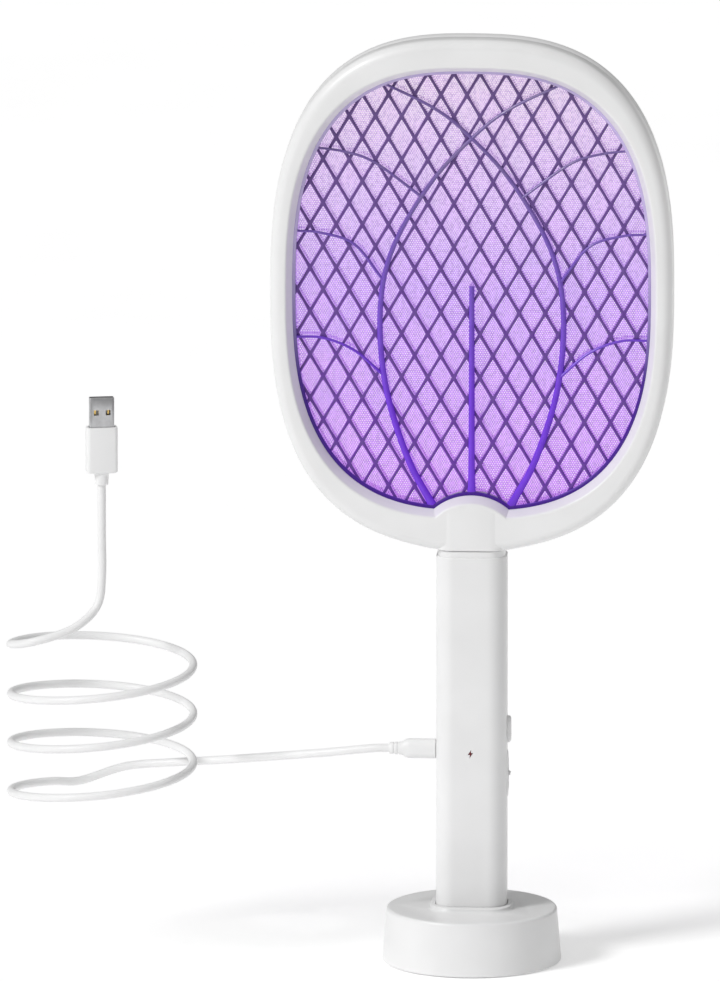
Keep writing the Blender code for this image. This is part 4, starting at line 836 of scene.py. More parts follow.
def head_frame(side):
    node = "head_front_frame" if side == FRONT else "head_rear_frame"
    cover = to_object(f"{node}_detailed", skin(frame_section(side), closed=True))
    tongue_width = HANDLE_WIDTH - 2 * HANDLE_WALL - 2 * GAP
    tongue_depth = HANDLE_DEPTH - 2 * HANDLE_WALL - 2 * GAP
    tongue_corner = HANDLE_CORNER - HANDLE_WALL - GAP
    tongue = half_section(tongue_width, tongue_depth, tongue_corner, side)
    bosses = []
    for x, z in head_screw_places():
        ends = ((2.4 * MM, side * SPLIT), (2.4 * MM, side * (HEAD_HALF_DEPTH - MM)))
        bosses.append(turned(ends, (x, z), "Y", 24))
    carve(
        cover, "UNION", neck_body(side), prism(tongue, TONGUE_BOTTOM, NECK_BOTTOM + 4 * MM), together(*bosses)
    )
    passage = rounded_rectangle(tongue_width - 4.4 * MM, tongue_depth - 4.4 * MM, tongue_corner - 2.2 * MM)
    pocket = arch(14.5 * MM, 22.4 * MM, NECK_BOTTOM - MM)
    layer_room = LIP_UNDERSIDE - 0.1 * MM
    holes = []
    for x, z in head_screw_places():
        profile = ((1.2 * MM, -9.5 * MM), (1.2 * MM, MM))
        if side == REAR:
            profile = (
                (1.2 * MM, -MM),
                (1.2 * MM, COUNTERBORE_FLOOR),
                (COUNTERBORE_RADIUS, COUNTERBORE_FLOOR),
                (COUNTERBORE_RADIUS, HEAD_HALF_DEPTH + MM),
            )
        holes.append(turned(profile, (x, z), "Y", 32))
    clearance = 4.1 * MM
    carve(
        cover,
        "DIFFERENCE",
        prism(passage, TONGUE_BOTTOM - MM, NECK_BOTTOM + 8 * MM),
        prism(pocket, -11 * MM, 11 * MM, "Y"),
        box((-22.5 * MM, 22.5 * MM), (-layer_room, layer_room), (215.2 * MM, 235.7 * MM)),
        together(*holes, turned(((clearance, -20 * MM), (clearance, 20 * MM)), (0, UPPER_SCREW_Z), "Y", 32)),
    )
    soften(cover, 0.25 * MM, 2, 40)
    return finished(cover, "swatter", "white_plastic", "white_plastic", node)


def cross_recess(x, z_or_y, top, depth, axis, direction):
    """Cutters of a cross-head recess: two crossed slots that narrow towards the bottom."""
    slots = []
    for wide, tall in ((1.5, 0.38), (0.38, 1.5)):
        loops = []
        for share, along in ((1.0, top + direction * 0.2 * MM), (0.55, top - direction * depth)):
            outline = rounded_rectangle(2 * wide * share * MM / 1.5, 2 * tall * share * MM / 1.5, 0.1 * MM, 2)
            loops.append([oriented(x + u, z_or_y + v, along, axis) for u, v in outline])
        slots.append(skin(loops, closed=False))
    return slots


def screw(node, centre, axis, profile, top, direction, body="swatter"):
    """A cross-head screw: turned shank and domed head, with its recess."""
    made = to_object(f"{node}_detailed", turned(profile, centre, axis, 32))
    carve(made, "DIFFERENCE", *cross_recess(*centre, top, 0.8 * MM, axis, direction))
    return finished(made, body, "steel", "steel", node)


def domed_head(radius, seat, height, direction=1):
    """(radius, along) points of a pan head from its seat to its crown."""
    points = [(radius, seat), (radius, seat + direction * height * 0.45)]
    for degrees in (25, 50, 70, 84):
        angle = math.radians(degrees)
        points.append((radius * math.cos(angle), seat + direction * height * (0.45 + 0.55 * math.sin(angle))))
    return points


def head_screws():
    for k, (x, z) in enumerate(head_screw_places(), 1):
        seat = COUNTERBORE_FLOOR + GAP
        profile = [(0.5 * MM, -8.5 * MM), (0.9 * MM, -7.6 * MM), (0.9 * MM, seat)]
        profile += domed_head(1.7 * MM, seat, 1.8 * MM)
        screw(f"head_screw_{k}", (x, z), "Y", profile, seat + 1.8 * MM, 1)


# ---------------------------------------------------------------- head layers

CELL_WIDTH = 12.7 * MM
CELL_HEIGHT = 21.5 * MM
KNUCKLE = (3.9 * MM, 247.1 * MM)  # (x, z) of one place where four strands meet
OPEN_SHARE = 0.843  # how much of each diamond is open, corner to corner
CORNER_POWER = 1.07  # rounds the openings' corners, which thickens the knuckles
OPENING_STEPS = 6  # outline pieces on each side of a diamond
WIRE_PITCH = 1.0 * MM
WIRE_WIDTH = 0.62 * MM
WIRE_THICKNESS = 0.3 * MM

MAIN_RIB = (
    (18.3, 225.7),
    (31.5, 251.2),
    (42.0, 286.7),
    (44.5, 323.7),
    (38.5, 353.7),
    (20.5, 385.7),
    (0.0, 408.7),
    (-18.0, 423.2),
    (-46.0, 437.0),
)
SIDE_RIBS = (
    ((79.0, 403.7), (62.0, 401.5), (47.0, 396.2), (24.5, 379.7)),
    ((86.0, 362.2), (73.0, 361.2), (57.0, 355.7), (43.5, 338.7)),
    ((86.0, 309.7), (72.0, 309.2), (57.0, 303.2), (43.0, 291.2)),
)
CENTRE_RIB = ((0.0, 230.7), (0.0, 283.7), (0.0, 335.7))
RIB_FOOT = 1.6 * MM  # how much a rib widens where it meets the notch
RIB_FOOT_LENGTH = 4 * MM


def guard_mesh():
    """Expanded metal: a tiling of diamonds, each a flat rounded strand ring round its opening."""
    near, far = -guard_high.y, -guard_low.y
    half_width, half_height = CELL_WIDTH / 2, CELL_HEIGHT / 2
    sheet = bmesh.new()
    corners = {}

    def vertex(x, y, z):
        key = (round(x / MM * 50), round(y / MM * 50), round(z / MM * 50))
        if key not in corners:
            corners[key] = sheet.verts.new((x, y, z))
        return corners[key]

    def rings(centre_x, centre_z):
        """Outline of the diamond, then three narrowing outlines down to the middle of its opening's wall."""
        count = 4 * OPENING_STEPS
        outer, opening = [], []
        for k in range(count):
            quarter, step = divmod(k, OPENING_STEPS)
            t = step / OPENING_STEPS
            starts = ((1, 0), (0, 1), (-1, 0), (0, -1), (1, 0))
            u = starts[quarter][0] * (1 - t) + starts[quarter + 1][0] * t
            v = starts[quarter][1] * (1 - t) + starts[quarter + 1][1] * t
            outer.append((centre_x + half_width * u, centre_z + half_height * v))
            length = (abs(u) ** CORNER_POWER + abs(v) ** CORNER_POWER) ** (1 / CORNER_POWER)
            reach = OPEN_SHARE / length
            opening.append((centre_x + half_width * u * reach, centre_z + half_height * v * reach))
        return outer, opening

    edge_uses = {}
    columns = math.ceil((WINDOW_HALF_WIDTH + LAYER_OVERLAP) / CELL_WIDTH) + 1
    lowest = math.floor((guard_low.z - KNUCKLE[1]) / half_height) - 1
    highest = math.ceil((guard_high.z - KNUCKLE[1]) / half_height) + 1
    for row in range(lowest, highest + 1):
        for column in range(-columns, columns + 1):
            centre_x = KNUCKLE[0] + (column + (row % 2 + 1) / 2) * CELL_WIDTH
            centre_z = KNUCKLE[1] + row * half_height
            reach = (max(abs(centre_x) - half_width, 0) / (WINDOW_HALF_WIDTH + LAYER_OVERLAP)) ** POWER
            reach += (max(abs(centre_z - HEAD_Z) - half_height, 0) / (WINDOW_HALF_HEIGHT + LAYER_OVERLAP)) ** POWER
            if reach > 1:
                continue
            outer, opening = rings(centre_x, centre_z)
            count = len(outer)
            layers = []
            for share, y in ((0, far), (0.55, far - 0.05 * MM), (1, far - 0.25 * MM)):
                layers.append((share, y))
            layers += [(1, near + 0.25 * MM), (0.55, near + 0.05 * MM), (0, near)]
            verts = []
            for share, y in layers:
                ring = []
                for (x0, z0), (x1, z1) in zip(outer, opening):
                    ring.append(vertex(x0 + (x1 - x0) * share, y, z0 + (z1 - z0) * share))
                verts.append(ring)
            for low, high in zip(verts, verts[1:]):
                for k in range(count):
                    after = (k + 1) % count
                    sheet.faces.new((low[k], low[after], high[after], high[k]))
            for k in range(count):
                after = (k + 1) % count
                pair = frozenset((verts[0][k], verts[0][after]))
                entry = edge_uses.setdefault(pair, [])
                entry.append((verts[0][k], verts[0][after], verts[-1][after], verts[-1][k]))
    for walls in edge_uses.values():
        if len(walls) == 1:
            sheet.faces.new(walls[0])
    bmesh.ops.transform(sheet, matrix=Matrix.Scale(-1, 4, (0, 1, 0)), verts=sheet.verts[:])
    front = to_object("front_guard_mesh_detailed", sheet, 60)
    clip = prism(window_loop(LAYER_OVERLAP), -far - MM, -near + MM, "Y")
    carve(front, "INTERSECT", clip, solver="MANIFOLD")
    shade(front.data, 60)
    rear = mirrored(front, "rear_guard_mesh_detailed")
    finished(front, "swatter", "mesh_metal", "mesh_metal", "front_guard_mesh")
    finished(rear, "swatter", "mesh_metal", "mesh_metal", "rear_guard_mesh")


def inside_net(x, z):
    """Whether points are inside the live mesh's outline, which stops short of the lamps."""
    grow = LAYER_OVERLAP - MM
    reach = (np.abs(x) / (WINDOW_HALF_WIDTH + grow)) ** POWER
    reach += (np.abs(z - HEAD_Z) / (WINDOW_HALF_HEIGHT + grow)) ** POWER
    return (reach < 1) & (np.hypot(x, z - NOTCH_Z) > NOTCH_RADIUS + LAMP_CLEARANCE)


def live_mesh():
    """A close net of fine drawn wires laid in two directions, soldered to a thin edge band."""
    slope = Vector((CELL_WIDTH, CELL_HEIGHT)).normalized()
    middle = Vector((0, HEAD_Z))
    reach = HEAD_HALF_HEIGHT * 1.3
    count = int(reach / WIRE_PITCH)
    along = np.linspace(-reach, reach, 1600)
    net = bmesh.new()
    for lean, y in ((1, -0.13 * MM), (-1, 0.13 * MM)):
        direction = Vector((slope.x * lean, slope.y))
        normal = Vector((-direction.y, direction.x))
        for k in range(-count, count + 1):
            start = middle + normal * k * WIRE_PITCH
            x = start.x + direction.x * along
            z = start.y + direction.y * along
            inside = inside_net(x, z)
            turns = np.flatnonzero(np.diff(inside.astype(int)))
            for first, last in zip(turns[::2], turns[1::2]):
                if along[last] - along[first] < 2 * MM:
                    continue
                loops = []
                for at in (first + 1, last):
                    centre = Vector((x[at], y, z[at]))
                    loop = []
                    for degrees in (0, 60, 120, 180, 240, 300):
                        angle = math.radians(degrees)
                        aside = normal * (WIRE_WIDTH / 2 * math.cos(angle))
                        lift = WIRE_THICKNESS / 2 * math.sin(angle)
                        loop.append(centre + Vector((aside.x, lift, aside.y)))
                    loops.append(loop)
                rows = [[net.verts.new(point) for point in loop] for loop in loops]
                for j in range(6):
                    after = (j + 1) % 6
                    net.faces.new((rows[0][j], rows[0][after], rows[1][after], rows[1][j]))
                net.faces.new(rows[0])
                net.faces.new(list(reversed(rows[1])))
    sheet = to_object("live_mesh_detailed", net, 80)
    band = []
    depth = live_high.y
    inner, outer = window_loop(0.6 * MM), window_loop(LAYER_OVERLAP)
    for outline, y in ((outer, -depth), (inner, -depth), (inner, depth), (outer, depth)):
        band.append([Vector((x, y, max(z, notch_floor(x)))) for x, z in outline])
    ring = to_object("band", skin(band, closed=True), 60)
    whole = bmesh.new()
    whole.from_mesh(sheet.data)
    whole.from_mesh(ring.data)
    bpy.data.objects.remove(ring)
    whole.to_mesh(sheet.data)
    whole.free()
    shade(sheet.data, 80)
    finished(sheet, "swatter", "net_metal", "mesh_metal", "live_mesh")


def notch_floor(x):
    """Lowest height that the live mesh's edge band may have at x, to stay clear of the lamps."""
    notch = NOTCH_RADIUS + LAMP_CLEARANCE
    return NOTCH_Z + math.sqrt(max(notch**2 - x**2, 0)) if abs(x) < notch else -1.0


def rib(points, start_width, end_width, mirror=1, foot=0.0):
    """A bar along a curve given in millimetres: two flanks rise to a narrow crown."""
    curve = through([(mirror * x * MM, z * MM) for x, z in points], 9)
    near, far = -rib_high.y + 0.05 * MM, -rib_low.y - 0.05 * MM
    shoulder = near + 0.45 * (far - near)
    loops, travelled = [], 0.0
    for k, point in enumerate(curve):
        before, after = curve[max(k - 1, 0)], curve[min(k + 1, len(curve) - 1)]
        direction = (after - before).normalized()
        normal = Vector((-direction.y, direction.x))
        travelled += (point - before).length
        share = k / (len(curve) - 1)
        width = start_width + (end_width - start_width) * share
        half = (width + foot * math.exp(-travelled / RIB_FOOT_LENGTH)) / 2
        section = (
            (-half, near),
            (half, near),
            (half, shoulder),
            (half * 0.72, far - 0.25 * MM),
            (half * 0.2, far),
            (-half * 0.2, far),
            (-half * 0.72, far - 0.25 * MM),
            (-half, shoulder),
        )
        loop = []
        for across, y in section:
            place = point + normal * across
            loop.append(Vector((place.x, -y, place.y)))
        loops.append(loop)
    return skin(loops, closed=False)


def rib_frames():
    """Front rim and ribs as one moulding, and its mirror image for the rear."""
    near, far = -rib_high.y, -rib_low.y
    profile = (
        (LAYER_OVERLAP, near),
        (-RIM_WIDTH, near),
        (-RIM_WIDTH, near + 0.8 * MM),
        (-RIM_WIDTH + 0.5 * MM, far - 0.1 * MM),
        (-RIM_WIDTH + 0.9 * MM, far),
        (LAYER_OVERLAP, far),
    )
    loops = [at_depth(window_loop(grow), -y) for grow, y in profile]
    front = to_object("front_rib_frame_detailed", skin(loops, closed=True))
    bars = [rib(CENTRE_RIB, 3.2 * MM, 2.4 * MM, foot=RIB_FOOT)]
    for mirror in (1, -1):
        bars.append(rib(MAIN_RIB, 3.4 * MM, 1.2 * MM, mirror, RIB_FOOT))
        for points in SIDE_RIBS:
            bars.append(rib(points, 1.1 * MM, 1.4 * MM, mirror))
    carve(front, "UNION", *bars)
    shade(front.data, 20)
    rear = mirrored(front, "rear_rib_frame_detailed")
    finished(front, "swatter", "violet_plastic", "violet_plastic", "front_rib_frame")
    finished(rear, "swatter", "violet_plastic", "violet_plastic", "rear_rib_frame")


def uv_lamps():
    """Round-nosed lamps with the collar that a lamp of this kind has at its foot."""
    for place in ("left", "centre", "right"):
        low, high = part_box(f"uv_led_{place}")
        x, radius = (low.x + high.x) / 2, (high.x - low.x) / 2
        straight = high.z - radius * 0.87
        profile = [(radius, low.z), (radius, low.z + 0.5 * MM)]
        profile += [(radius * 0.9, low.z + 0.6 * MM), (radius * 0.9, straight)]
        for k in range(1, 8):
            angle = math.pi / 2 * k / 8
            profile.append((radius * 0.9 * math.cos(angle), straight + radius * 0.87 * math.sin(angle)))
        lamp = to_object(f"uv_led_{place}_detailed", turned(profile, (x, 0), "Z", 28))
        finished(lamp, "swatter", "uv_lens", "uv_lens", f"uv_led_{place}")


# ---------------------------------------------------------------- handle

GROOVE_HEIGHT = 3.2 * MM
GROOVE_DEPTH = 0.8 * MM
FOOT_ROUND = 1.5 * MM
SLIDER_OPENING = (16 * MM, 6.4 * MM)
SLIDER_TRACK = (24 * MM, 10 * MM)
BOLT = ((0.4, 2.0), (-1.2, -0.4), (-0.2, -0.4), (-0.5, -2.0), (1.2, 0.5), (0.2, 0.5))
HANDLE_COUNTERBORE = 2.6 * MM
HANDLE_COUNTERBORE_FLOOR = 9 * MM


def side_pill(height, width, low_x, high_x, z):
    """A pill shape (height along Z, width along Y) pushed along X."""
    outline = rounded_rectangle(width, height, width / 2, 12, (0, z))
    return prism(outline, low_x, high_x, "X")


def track_bulge(side):
    """The half of the slider's raised track on one side of the split plane."""
    height, width = SLIDER_TRACK
    wall = HANDLE_WIDTH / 2
    loops = []
    for inset, x in ((0, wall - MM), (0, wall + 0.1 * MM), (0.5, wall + 0.35 * MM), (1.0, wall + 0.52 * MM), (1.6, wall + 0.6 * MM)):
        inset = inset * MM
        outline = rounded_rectangle(width - 2 * inset, height - 2 * inset, width / 2 - inset, 12, (0, SLIDER_Z))
        kept = [(side * max(side * y, SPLIT), v) for y, v in outline if side * y > -GAP / 10]
        loops.append([Vector((x, y, v)) for y, v in kept])
    return skin(loops, closed=False)


def handle_shell(side):
    node = "handle_front_shell" if side == FRONT else "handle_rear_shell"

    def section(inset, z):
        outline = half_section(HANDLE_WIDTH - 2 * inset, HANDLE_DEPTH - 2 * inset, HANDLE_CORNER - inset, side)
        return [Vector((x, y, z)) for x, y in outline]

    loops = []
    for k in range(7):
        turn = math.pi / 2 * k / 6
        loops.append(section(FOOT_ROUND * (1 - math.sin(turn)), HANDLE_BOTTOM + FOOT_ROUND * (1 - math.cos(turn))))
    groove = HANDLE_TOP - GROOVE_HEIGHT
    for inset, z in ((0, -0.5), (0.08, -0.2), (0.3, 0.05), (GROOVE_DEPTH / MM, 0.2)):
        loops.append(section(inset * MM, groove + z * MM))
    loops.append(section(GROOVE_DEPTH, HANDLE_TOP))
    shell = to_object(f"{node}_detailed", skin(loops, closed=False))
    hollow = half_section(
        HANDLE_WIDTH - 2 * HANDLE_WALL,
        HANDLE_DEPTH - 2 * HANDLE_WALL,
        HANDLE_CORNER - HANDLE_WALL,
        side,
        split=-MM,
    )
    carve(shell, "DIFFERENCE", prism(hollow, HANDLE_BOTTOM + 2.5 * MM, HANDLE_TOP + MM))
    bosses, bores = [], []
    for z in (LOWER_SCREW_Z, UPPER_SCREW_Z):
        ends = ((3.6 * MM, side * GAP), (3.6 * MM, side * (HANDLE_DEPTH / 2 - MM)))
        bosses.append(turned(ends, (0, z), "Y", 32))
        profile = ((1.3 * MM, -10.5 * MM), (1.3 * MM, MM))
        if side == REAR:
            profile = (
                (1.3 * MM, -MM),
                (1.3 * MM, HANDLE_COUNTERBORE_FLOOR),
                (HANDLE_COUNTERBORE, HANDLE_COUNTERBORE_FLOOR),
                (HANDLE_COUNTERBORE, HANDLE_DEPTH / 2 + MM),
            )
        bores.append(turned(profile, (0, z), "Y", 36))
    sill = half_section(
        HANDLE_WIDTH - 2 * SEAM_DEPTH, HANDLE_DEPTH - 2 * SEAM_DEPTH, HANDLE_CORNER - SEAM_DEPTH, side, split=SEAM_GAP
    )
    sill = [(x, side * min(side * y, SPLIT + MM)) for x, y in sill]
    room = half_section(
        HANDLE_WIDTH - 2 * HANDLE_WALL, HANDLE_DEPTH - 2 * HANDLE_WALL, HANDLE_CORNER - HANDLE_WALL, side, split=-MM
    )
    seam = to_object("seam", prism(sill, HANDLE_BOTTOM + 1.2 * MM, HANDLE_TOP - 0.2 * MM))
    carve(seam, "DIFFERENCE", prism(room, HANDLE_BOTTOM + 2.5 * MM, HANDLE_TOP + MM))
    band = bmesh.new()
    band.from_mesh(seam.data)
    bpy.data.objects.remove(seam)
    carve(shell, "UNION", track_bulge(side), together(*bosses), band)
    outside, inside = HANDLE_WIDTH / 2 + 2 * MM, HANDLE_WIDTH / 2 - 4 * MM
    if side == FRONT:
        window = [(x * 1.1 * MM, INDICATOR_Z + z * 1.1 * MM) for x, z in BOLT]
        bores.append(prism(window, -HANDLE_DEPTH / 2 - MM, -HANDLE_DEPTH / 2 + 4 * MM, "Y"))
    carve(
        shell,
        "DIFFERENCE",
        together(*bores),
        side_pill(BUTTON_HEIGHT + 2 * GAP, BUTTON_WIDTH + 2 * GAP, inside, outside, BUTTON_Z),
        side_pill(*SLIDER_OPENING, inside, outside, SLIDER_Z),
        side_pill(9.6 * MM, 3.8 * MM, -outside, -inside, SOCKET_Z),
    )
    soften(shell, 0.22 * MM, 2, 38)
    return finished(shell, "swatter", "white_plastic", "white_plastic", node)


def handle_screws():
    seat = HANDLE_COUNTERBORE_FLOOR + GAP
    for place, z in (("lower", LOWER_SCREW_Z), ("upper", UPPER_SCREW_Z)):
        profile = [(0.5 * MM, -9 * MM), (MM, -8 * MM), (MM, seat)]
        profile += domed_head(2.2 * MM, seat, 1.8 * MM)
        screw(f"handle_screw_{place}", (0, z), "Y", profile, seat + 1.8 * MM, 1)


def bolt_window_lens():
    """Bolt-shaped lens, a little smaller than its opening, on the round light guide behind it."""
    bolt = [(x * 0.85 * MM, INDICATOR_Z + z * 0.85 * MM) for x, z in BOLT]
    lens = to_object("indicator_lens_detailed", prism(bolt, lens_low.y, lens_low.y + 3.05 * MM, "Y"))
    stem = ((2.6 * MM, -HANDLE_DEPTH / 2 + HANDLE_WALL + GAP), (2.6 * MM, lens_high.y))
    carve(lens, "UNION", turned(stem, (0, INDICATOR_Z), "Y", 32))
    soften(lens, 0.06 * MM, 1, 40)
    finished(lens, "swatter", "lens_red", "lens_red", "indicator_lens")


# ---------------------------------------------------------------- controls


def push_button():
    """Pill-shaped cap, softly domed, with a shallow finger dish and its retaining flange."""
    face = button_high.x
    flange_x = (button_low.x, button_low.x + 1.5 * MM)
    loops = []
    stations = [(0, flange_x[1] - 0.5 * MM), (0, face - 1.3 * MM)]
    for k in range(1, 9):
        turn = math.pi / 2 * k / 8
        stations.append((1.5 * (1 - math.cos(turn)), face - 1.3 * MM + 1.3 * MM * math.sin(turn)))
    stations += [(2.1, face - 0.02 * MM), (2.6, face - 0.12 * MM), (3.0, face - 0.22 * MM)]
    for inset, x in stations:
        inset = inset * MM
        outline = rounded_rectangle(
            BUTTON_WIDTH - 2 * inset, BUTTON_HEIGHT - 2 * inset, BUTTON_WIDTH / 2 - inset, 12, (0, BUTTON_Z)
        )
        loops.append([Vector((x, y, z)) for y, z in outline])
    cap = to_object("push_button_detailed", skin(loops, closed=False))
    carve(cap, "UNION", side_pill(BUTTON_HEIGHT + 2.6 * MM, BUTTON_WIDTH + 2.6 * MM, *flange_x, BUTTON_Z))
    finished(cap, "push_button", "button_white", "white_plastic", "push_button")


def slide_knob():
    """Knob in the slider's track, with a thumb ridge between two rows of fine grip lines."""
    wall = HANDLE_WIDTH / 2
    face = wall + 0.2 * MM
    loops = []
    for inset, x in ((0, 14.5 * MM), (0, face - 0.3 * MM), (0.12, face - 0.08 * MM), (0.35, face)):
        inset = inset * MM
        outline = rounded_rectangle(5.8 * MM - 2 * inset, 11.4 * MM - 2 * inset, 2.9 * MM - inset, 12, (0, SLIDER_Z))
        loops.append([Vector((x, y, z)) for y, z in outline])
    knob = to_object("slide_knob_detailed", skin(loops, closed=False))
    flange = rounded_rectangle(8 * MM, knob_high.z - knob_low.z, 2 * MM, 6, (0, SLIDER_Z))
    ridges = []
    for offset, half, top in ((0, 1.4, 1.7), (2.9, 0.45, 0.55), (-2.9, 0.45, 0.55), (4.2, 0.4, 0.45), (-4.2, 0.4, 0.45)):
        profile = filleted(
            (
                (wall - MM, -half * MM),
                (wall + 0.1 * MM, -half * MM),
                (wall + top * MM, -half * 0.22 * MM),
                (wall + top * MM, half * 0.22 * MM),
                (wall + 0.1 * MM, half * MM),
                (wall - MM, half * MM),
            ),
            (0, 0.12 * MM, 0.12 * MM, 0),
            3,
        )
        reach = 2.4 * MM if offset == 0 else 1.9 * MM
        ridge = [[Vector((x, y, SLIDER_Z + offset * MM + z)) for x, z in profile] for y in (-reach, reach)]
        ridges.append(skin(ridge, closed=False))
    carve(
        knob,
        "UNION",
        prism(flange, knob_low.x + 3.6 * MM, knob_low.x + 5 * MM, "X"),
        box((knob_low.x, 14 * MM), (-1.2 * MM, 0.8 * MM), (SLIDER_Z - MM, SLIDER_Z + MM)),
        together(*ridges),
        solver="MANIFOLD",
    )
    finished(knob, "slide_knob", "button_white", "white_plastic", "slide_knob")


def button_spring():
    """Wound spring behind the button."""
    low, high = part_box("button_spring")
    turns, per_turn, wire = 4, 24, 0.28 * MM
    coil = (high.y - low.y) / 2 - wire
    middle_y = (low.y + high.y) / 2
    path = []
    for k in range(turns * per_turn + 1):
        angle = 2 * math.pi * k / per_turn
        x = low.x + wire + (high.x - low.x - 2 * wire) * k / (turns * per_turn)
        path.append((x, middle_y + coil * math.cos(angle), BUTTON_Z + coil * math.sin(angle)))
    spring = to_object("button_spring_detailed", sweep(path, lambda k: circle(wire, 10)))
    finished(spring, "swatter", "steel", "steel", "button_spring")
    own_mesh(spring)


# ---------------------------------------------------------------- base

BASE_SCREW_CIRCLE = 34 * MM
BASE_SCREW_ANGLES = (90, 210, 330)
BASE_TOP_RADIUS = 41.5 * MM
BASE_WALL = 2.2 * MM
SOCKET_RIM_HEIGHT = 2.2 * MM
BASE_HEIGHT = base_high.z - SOCKET_RIM_HEIGHT
SOCKET_WALL_WIDTH = 39.6 * MM
SOCKET_WALL_DEPTH = 34.2 * MM


def base_screw_places():
    angles = [math.radians(degrees) for degrees in BASE_SCREW_ANGLES]
    return [(BASE_SCREW_CIRCLE * math.cos(a), BASE_SCREW_CIRCLE * math.sin(a)) for a in angles]


def base_shell():
    """Weighted foot: a tapered drum with softly rounded edges and a raised socket for the handle."""
    foot, ceiling = base_low.z, BASE_HEIGHT - BASE_WALL
    outside = filleted(
        (
            (base_high.x - 1.2 * MM, foot),
            (base_high.x, foot),
            (BASE_TOP_RADIUS, BASE_HEIGHT),
            (BASE_TOP_RADIUS - 4 * MM, BASE_HEIGHT),
        ),
        (0.7 * MM, 1.6 * MM),
        8,
    )
    shell = to_object("base_shell_detailed", turned(outside, segments=192))
    hollow = ((base_high.x - BASE_WALL, foot - MM), (BASE_TOP_RADIUS - BASE_WALL, ceiling))
    carve(shell, "DIFFERENCE", turned(hollow, segments=192))
    corner = HANDLE_CORNER + 2.4 * MM
    loops = []
    top = BASE_HEIGHT + SOCKET_RIM_HEIGHT
    stations = ((0, plate_high.z + GAP), (0, BASE_HEIGHT - 0.6 * MM))
    flare = ((-1.6, BASE_HEIGHT - 0.05 * MM), (-0.9, BASE_HEIGHT + 0.25 * MM), (-0.35, BASE_HEIGHT + 0.7 * MM), (-0.08, BASE_HEIGHT + 1.1 * MM))
    crown = ((0, top - 0.8 * MM), (0.12, top - 0.35 * MM), (0.4, top - 0.08 * MM), (0.75, top))
    for inset, z in (*stations, *flare, *crown):
        inset = inset * MM
        outline = rounded_rectangle(SOCKET_WALL_WIDTH - 2 * inset, SOCKET_WALL_DEPTH - 2 * inset, corner - inset, 16)
        loops.append([Vector((x, y, z)) for x, y in outline])
    bosses = []
    pilots = []
    for x, y in base_screw_places():
        bosses.append(turned(((3 * MM, plate_high.z + GAP), (3 * MM, ceiling + MM)), (x, y), segments=24))
        pilots.append(turned(((1.5 * MM, plate_low.z), (1.5 * MM, 15 * MM)), (x, y), segments=24))
    carve(shell, "UNION", skin(loops, closed=False), together(*bosses))
    pocket = rounded_rectangle(HANDLE_WIDTH + 2 * GAP, HANDLE_DEPTH + 2 * GAP, HANDLE_CORNER + GAP, 16)
    carve(shell, "DIFFERENCE", prism(pocket, HANDLE_BOTTOM - GAP, BASE_HEIGHT + 10 * MM), together(*pilots))
    soften(shell, 0.25 * MM, 2, 50)
    finished(shell, "base", "white_plastic", "white_plastic", "base_shell")


def base_plate():
    """Underside plate with countersunk screw seats."""
    radius = plate_high.x
    profile = filleted(
        ((radius - 2 * MM, plate_low.z), (radius, plate_low.z), (radius, plate_high.z), (radius - 2 * MM, plate_high.z)),
        (0.3 * MM, 0.3 * MM),
        3,
    )
    plate = to_object("base_bottom_plate_detailed", turned(profile, segments=128))
    holes = []
    for x, y in base_screw_places():
        profile = (
            (2.9 * MM, plate_low.z - MM),
            (2.9 * MM, plate_low.z + 1.4 * MM),
            (1.5 * MM, plate_low.z + 1.4 * MM),
            (1.5 * MM, plate_high.z + MM),
        )
        holes.append(turned(profile, (x, y), segments=32))
    carve(plate, "DIFFERENCE", together(*holes))
    finished(plate, "base", "white_plastic", "white_plastic", "base_bottom_plate")


def base_weight():
    """Cast ring with broken edges, bored for the screw bosses."""
    low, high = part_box("base_weight")
    inner, outer = 22.6 * MM, high.x
    corners = ((inner, low.z), (outer, low.z), (outer, high.z), (inner, high.z))
    inward = ((1, 1), (-1, 1), (-1, -1), (1, -1))
    loops = []
    for (radius, z), (across, up) in zip(corners, inward):
        for share_r, share_z in ((0, 1), (0.3, 0.3), (1, 0)) if across * up > 0 else ((1, 0), (0.3, 0.3), (0, 1)):
            r = radius + across * share_r * 0.6 * MM
            height = z + up * share_z * 0.6 * MM
            angles = [2 * math.pi * k / 128 for k in range(128)]
            loops.append([Vector((r * math.cos(a), r * math.sin(a), height)) for a in angles])
    ring = to_object("base_weight_detailed", skin(loops, closed=True))
    bores = []
    for x, y in base_screw_places():
        bores.append(turned(((3.3 * MM, low.z - MM), (3.3 * MM, high.z + MM)), (x, y), segments=32))
    carve(ring, "DIFFERENCE", together(*bores))
    finished(ring, "base", "iron_weight", "iron_weight", "base_weight")


def foot_pad():
    """Rubber pad, with concentric grip grooves on its underside, inside its rim."""
    radius, top = pad_high.x, pad_high.z
    profile = [(2 * MM, 0.35 * MM)]
    for k in range(1, 6):
        r = 6.4 * MM * k
        profile += [(r - 0.5 * MM, 0.35 * MM), (r - 0.3 * MM, 0.0), (r + 4.2 * MM, 0.0), (r + 4.4 * MM, 0.35 * MM)]
    profile += filleted(((36.8 * MM, 0.35 * MM), (37 * MM, 0), (radius, 0), (radius, top), (37 * MM, top)), (0, 0.3 * MM, 0.2 * MM))
    pad = to_object("base_foot_pad_detailed", turned(profile, segments=128), 28)
    finished(pad, "base", "foot_rubber", "foot_rubber", "base_foot_pad")


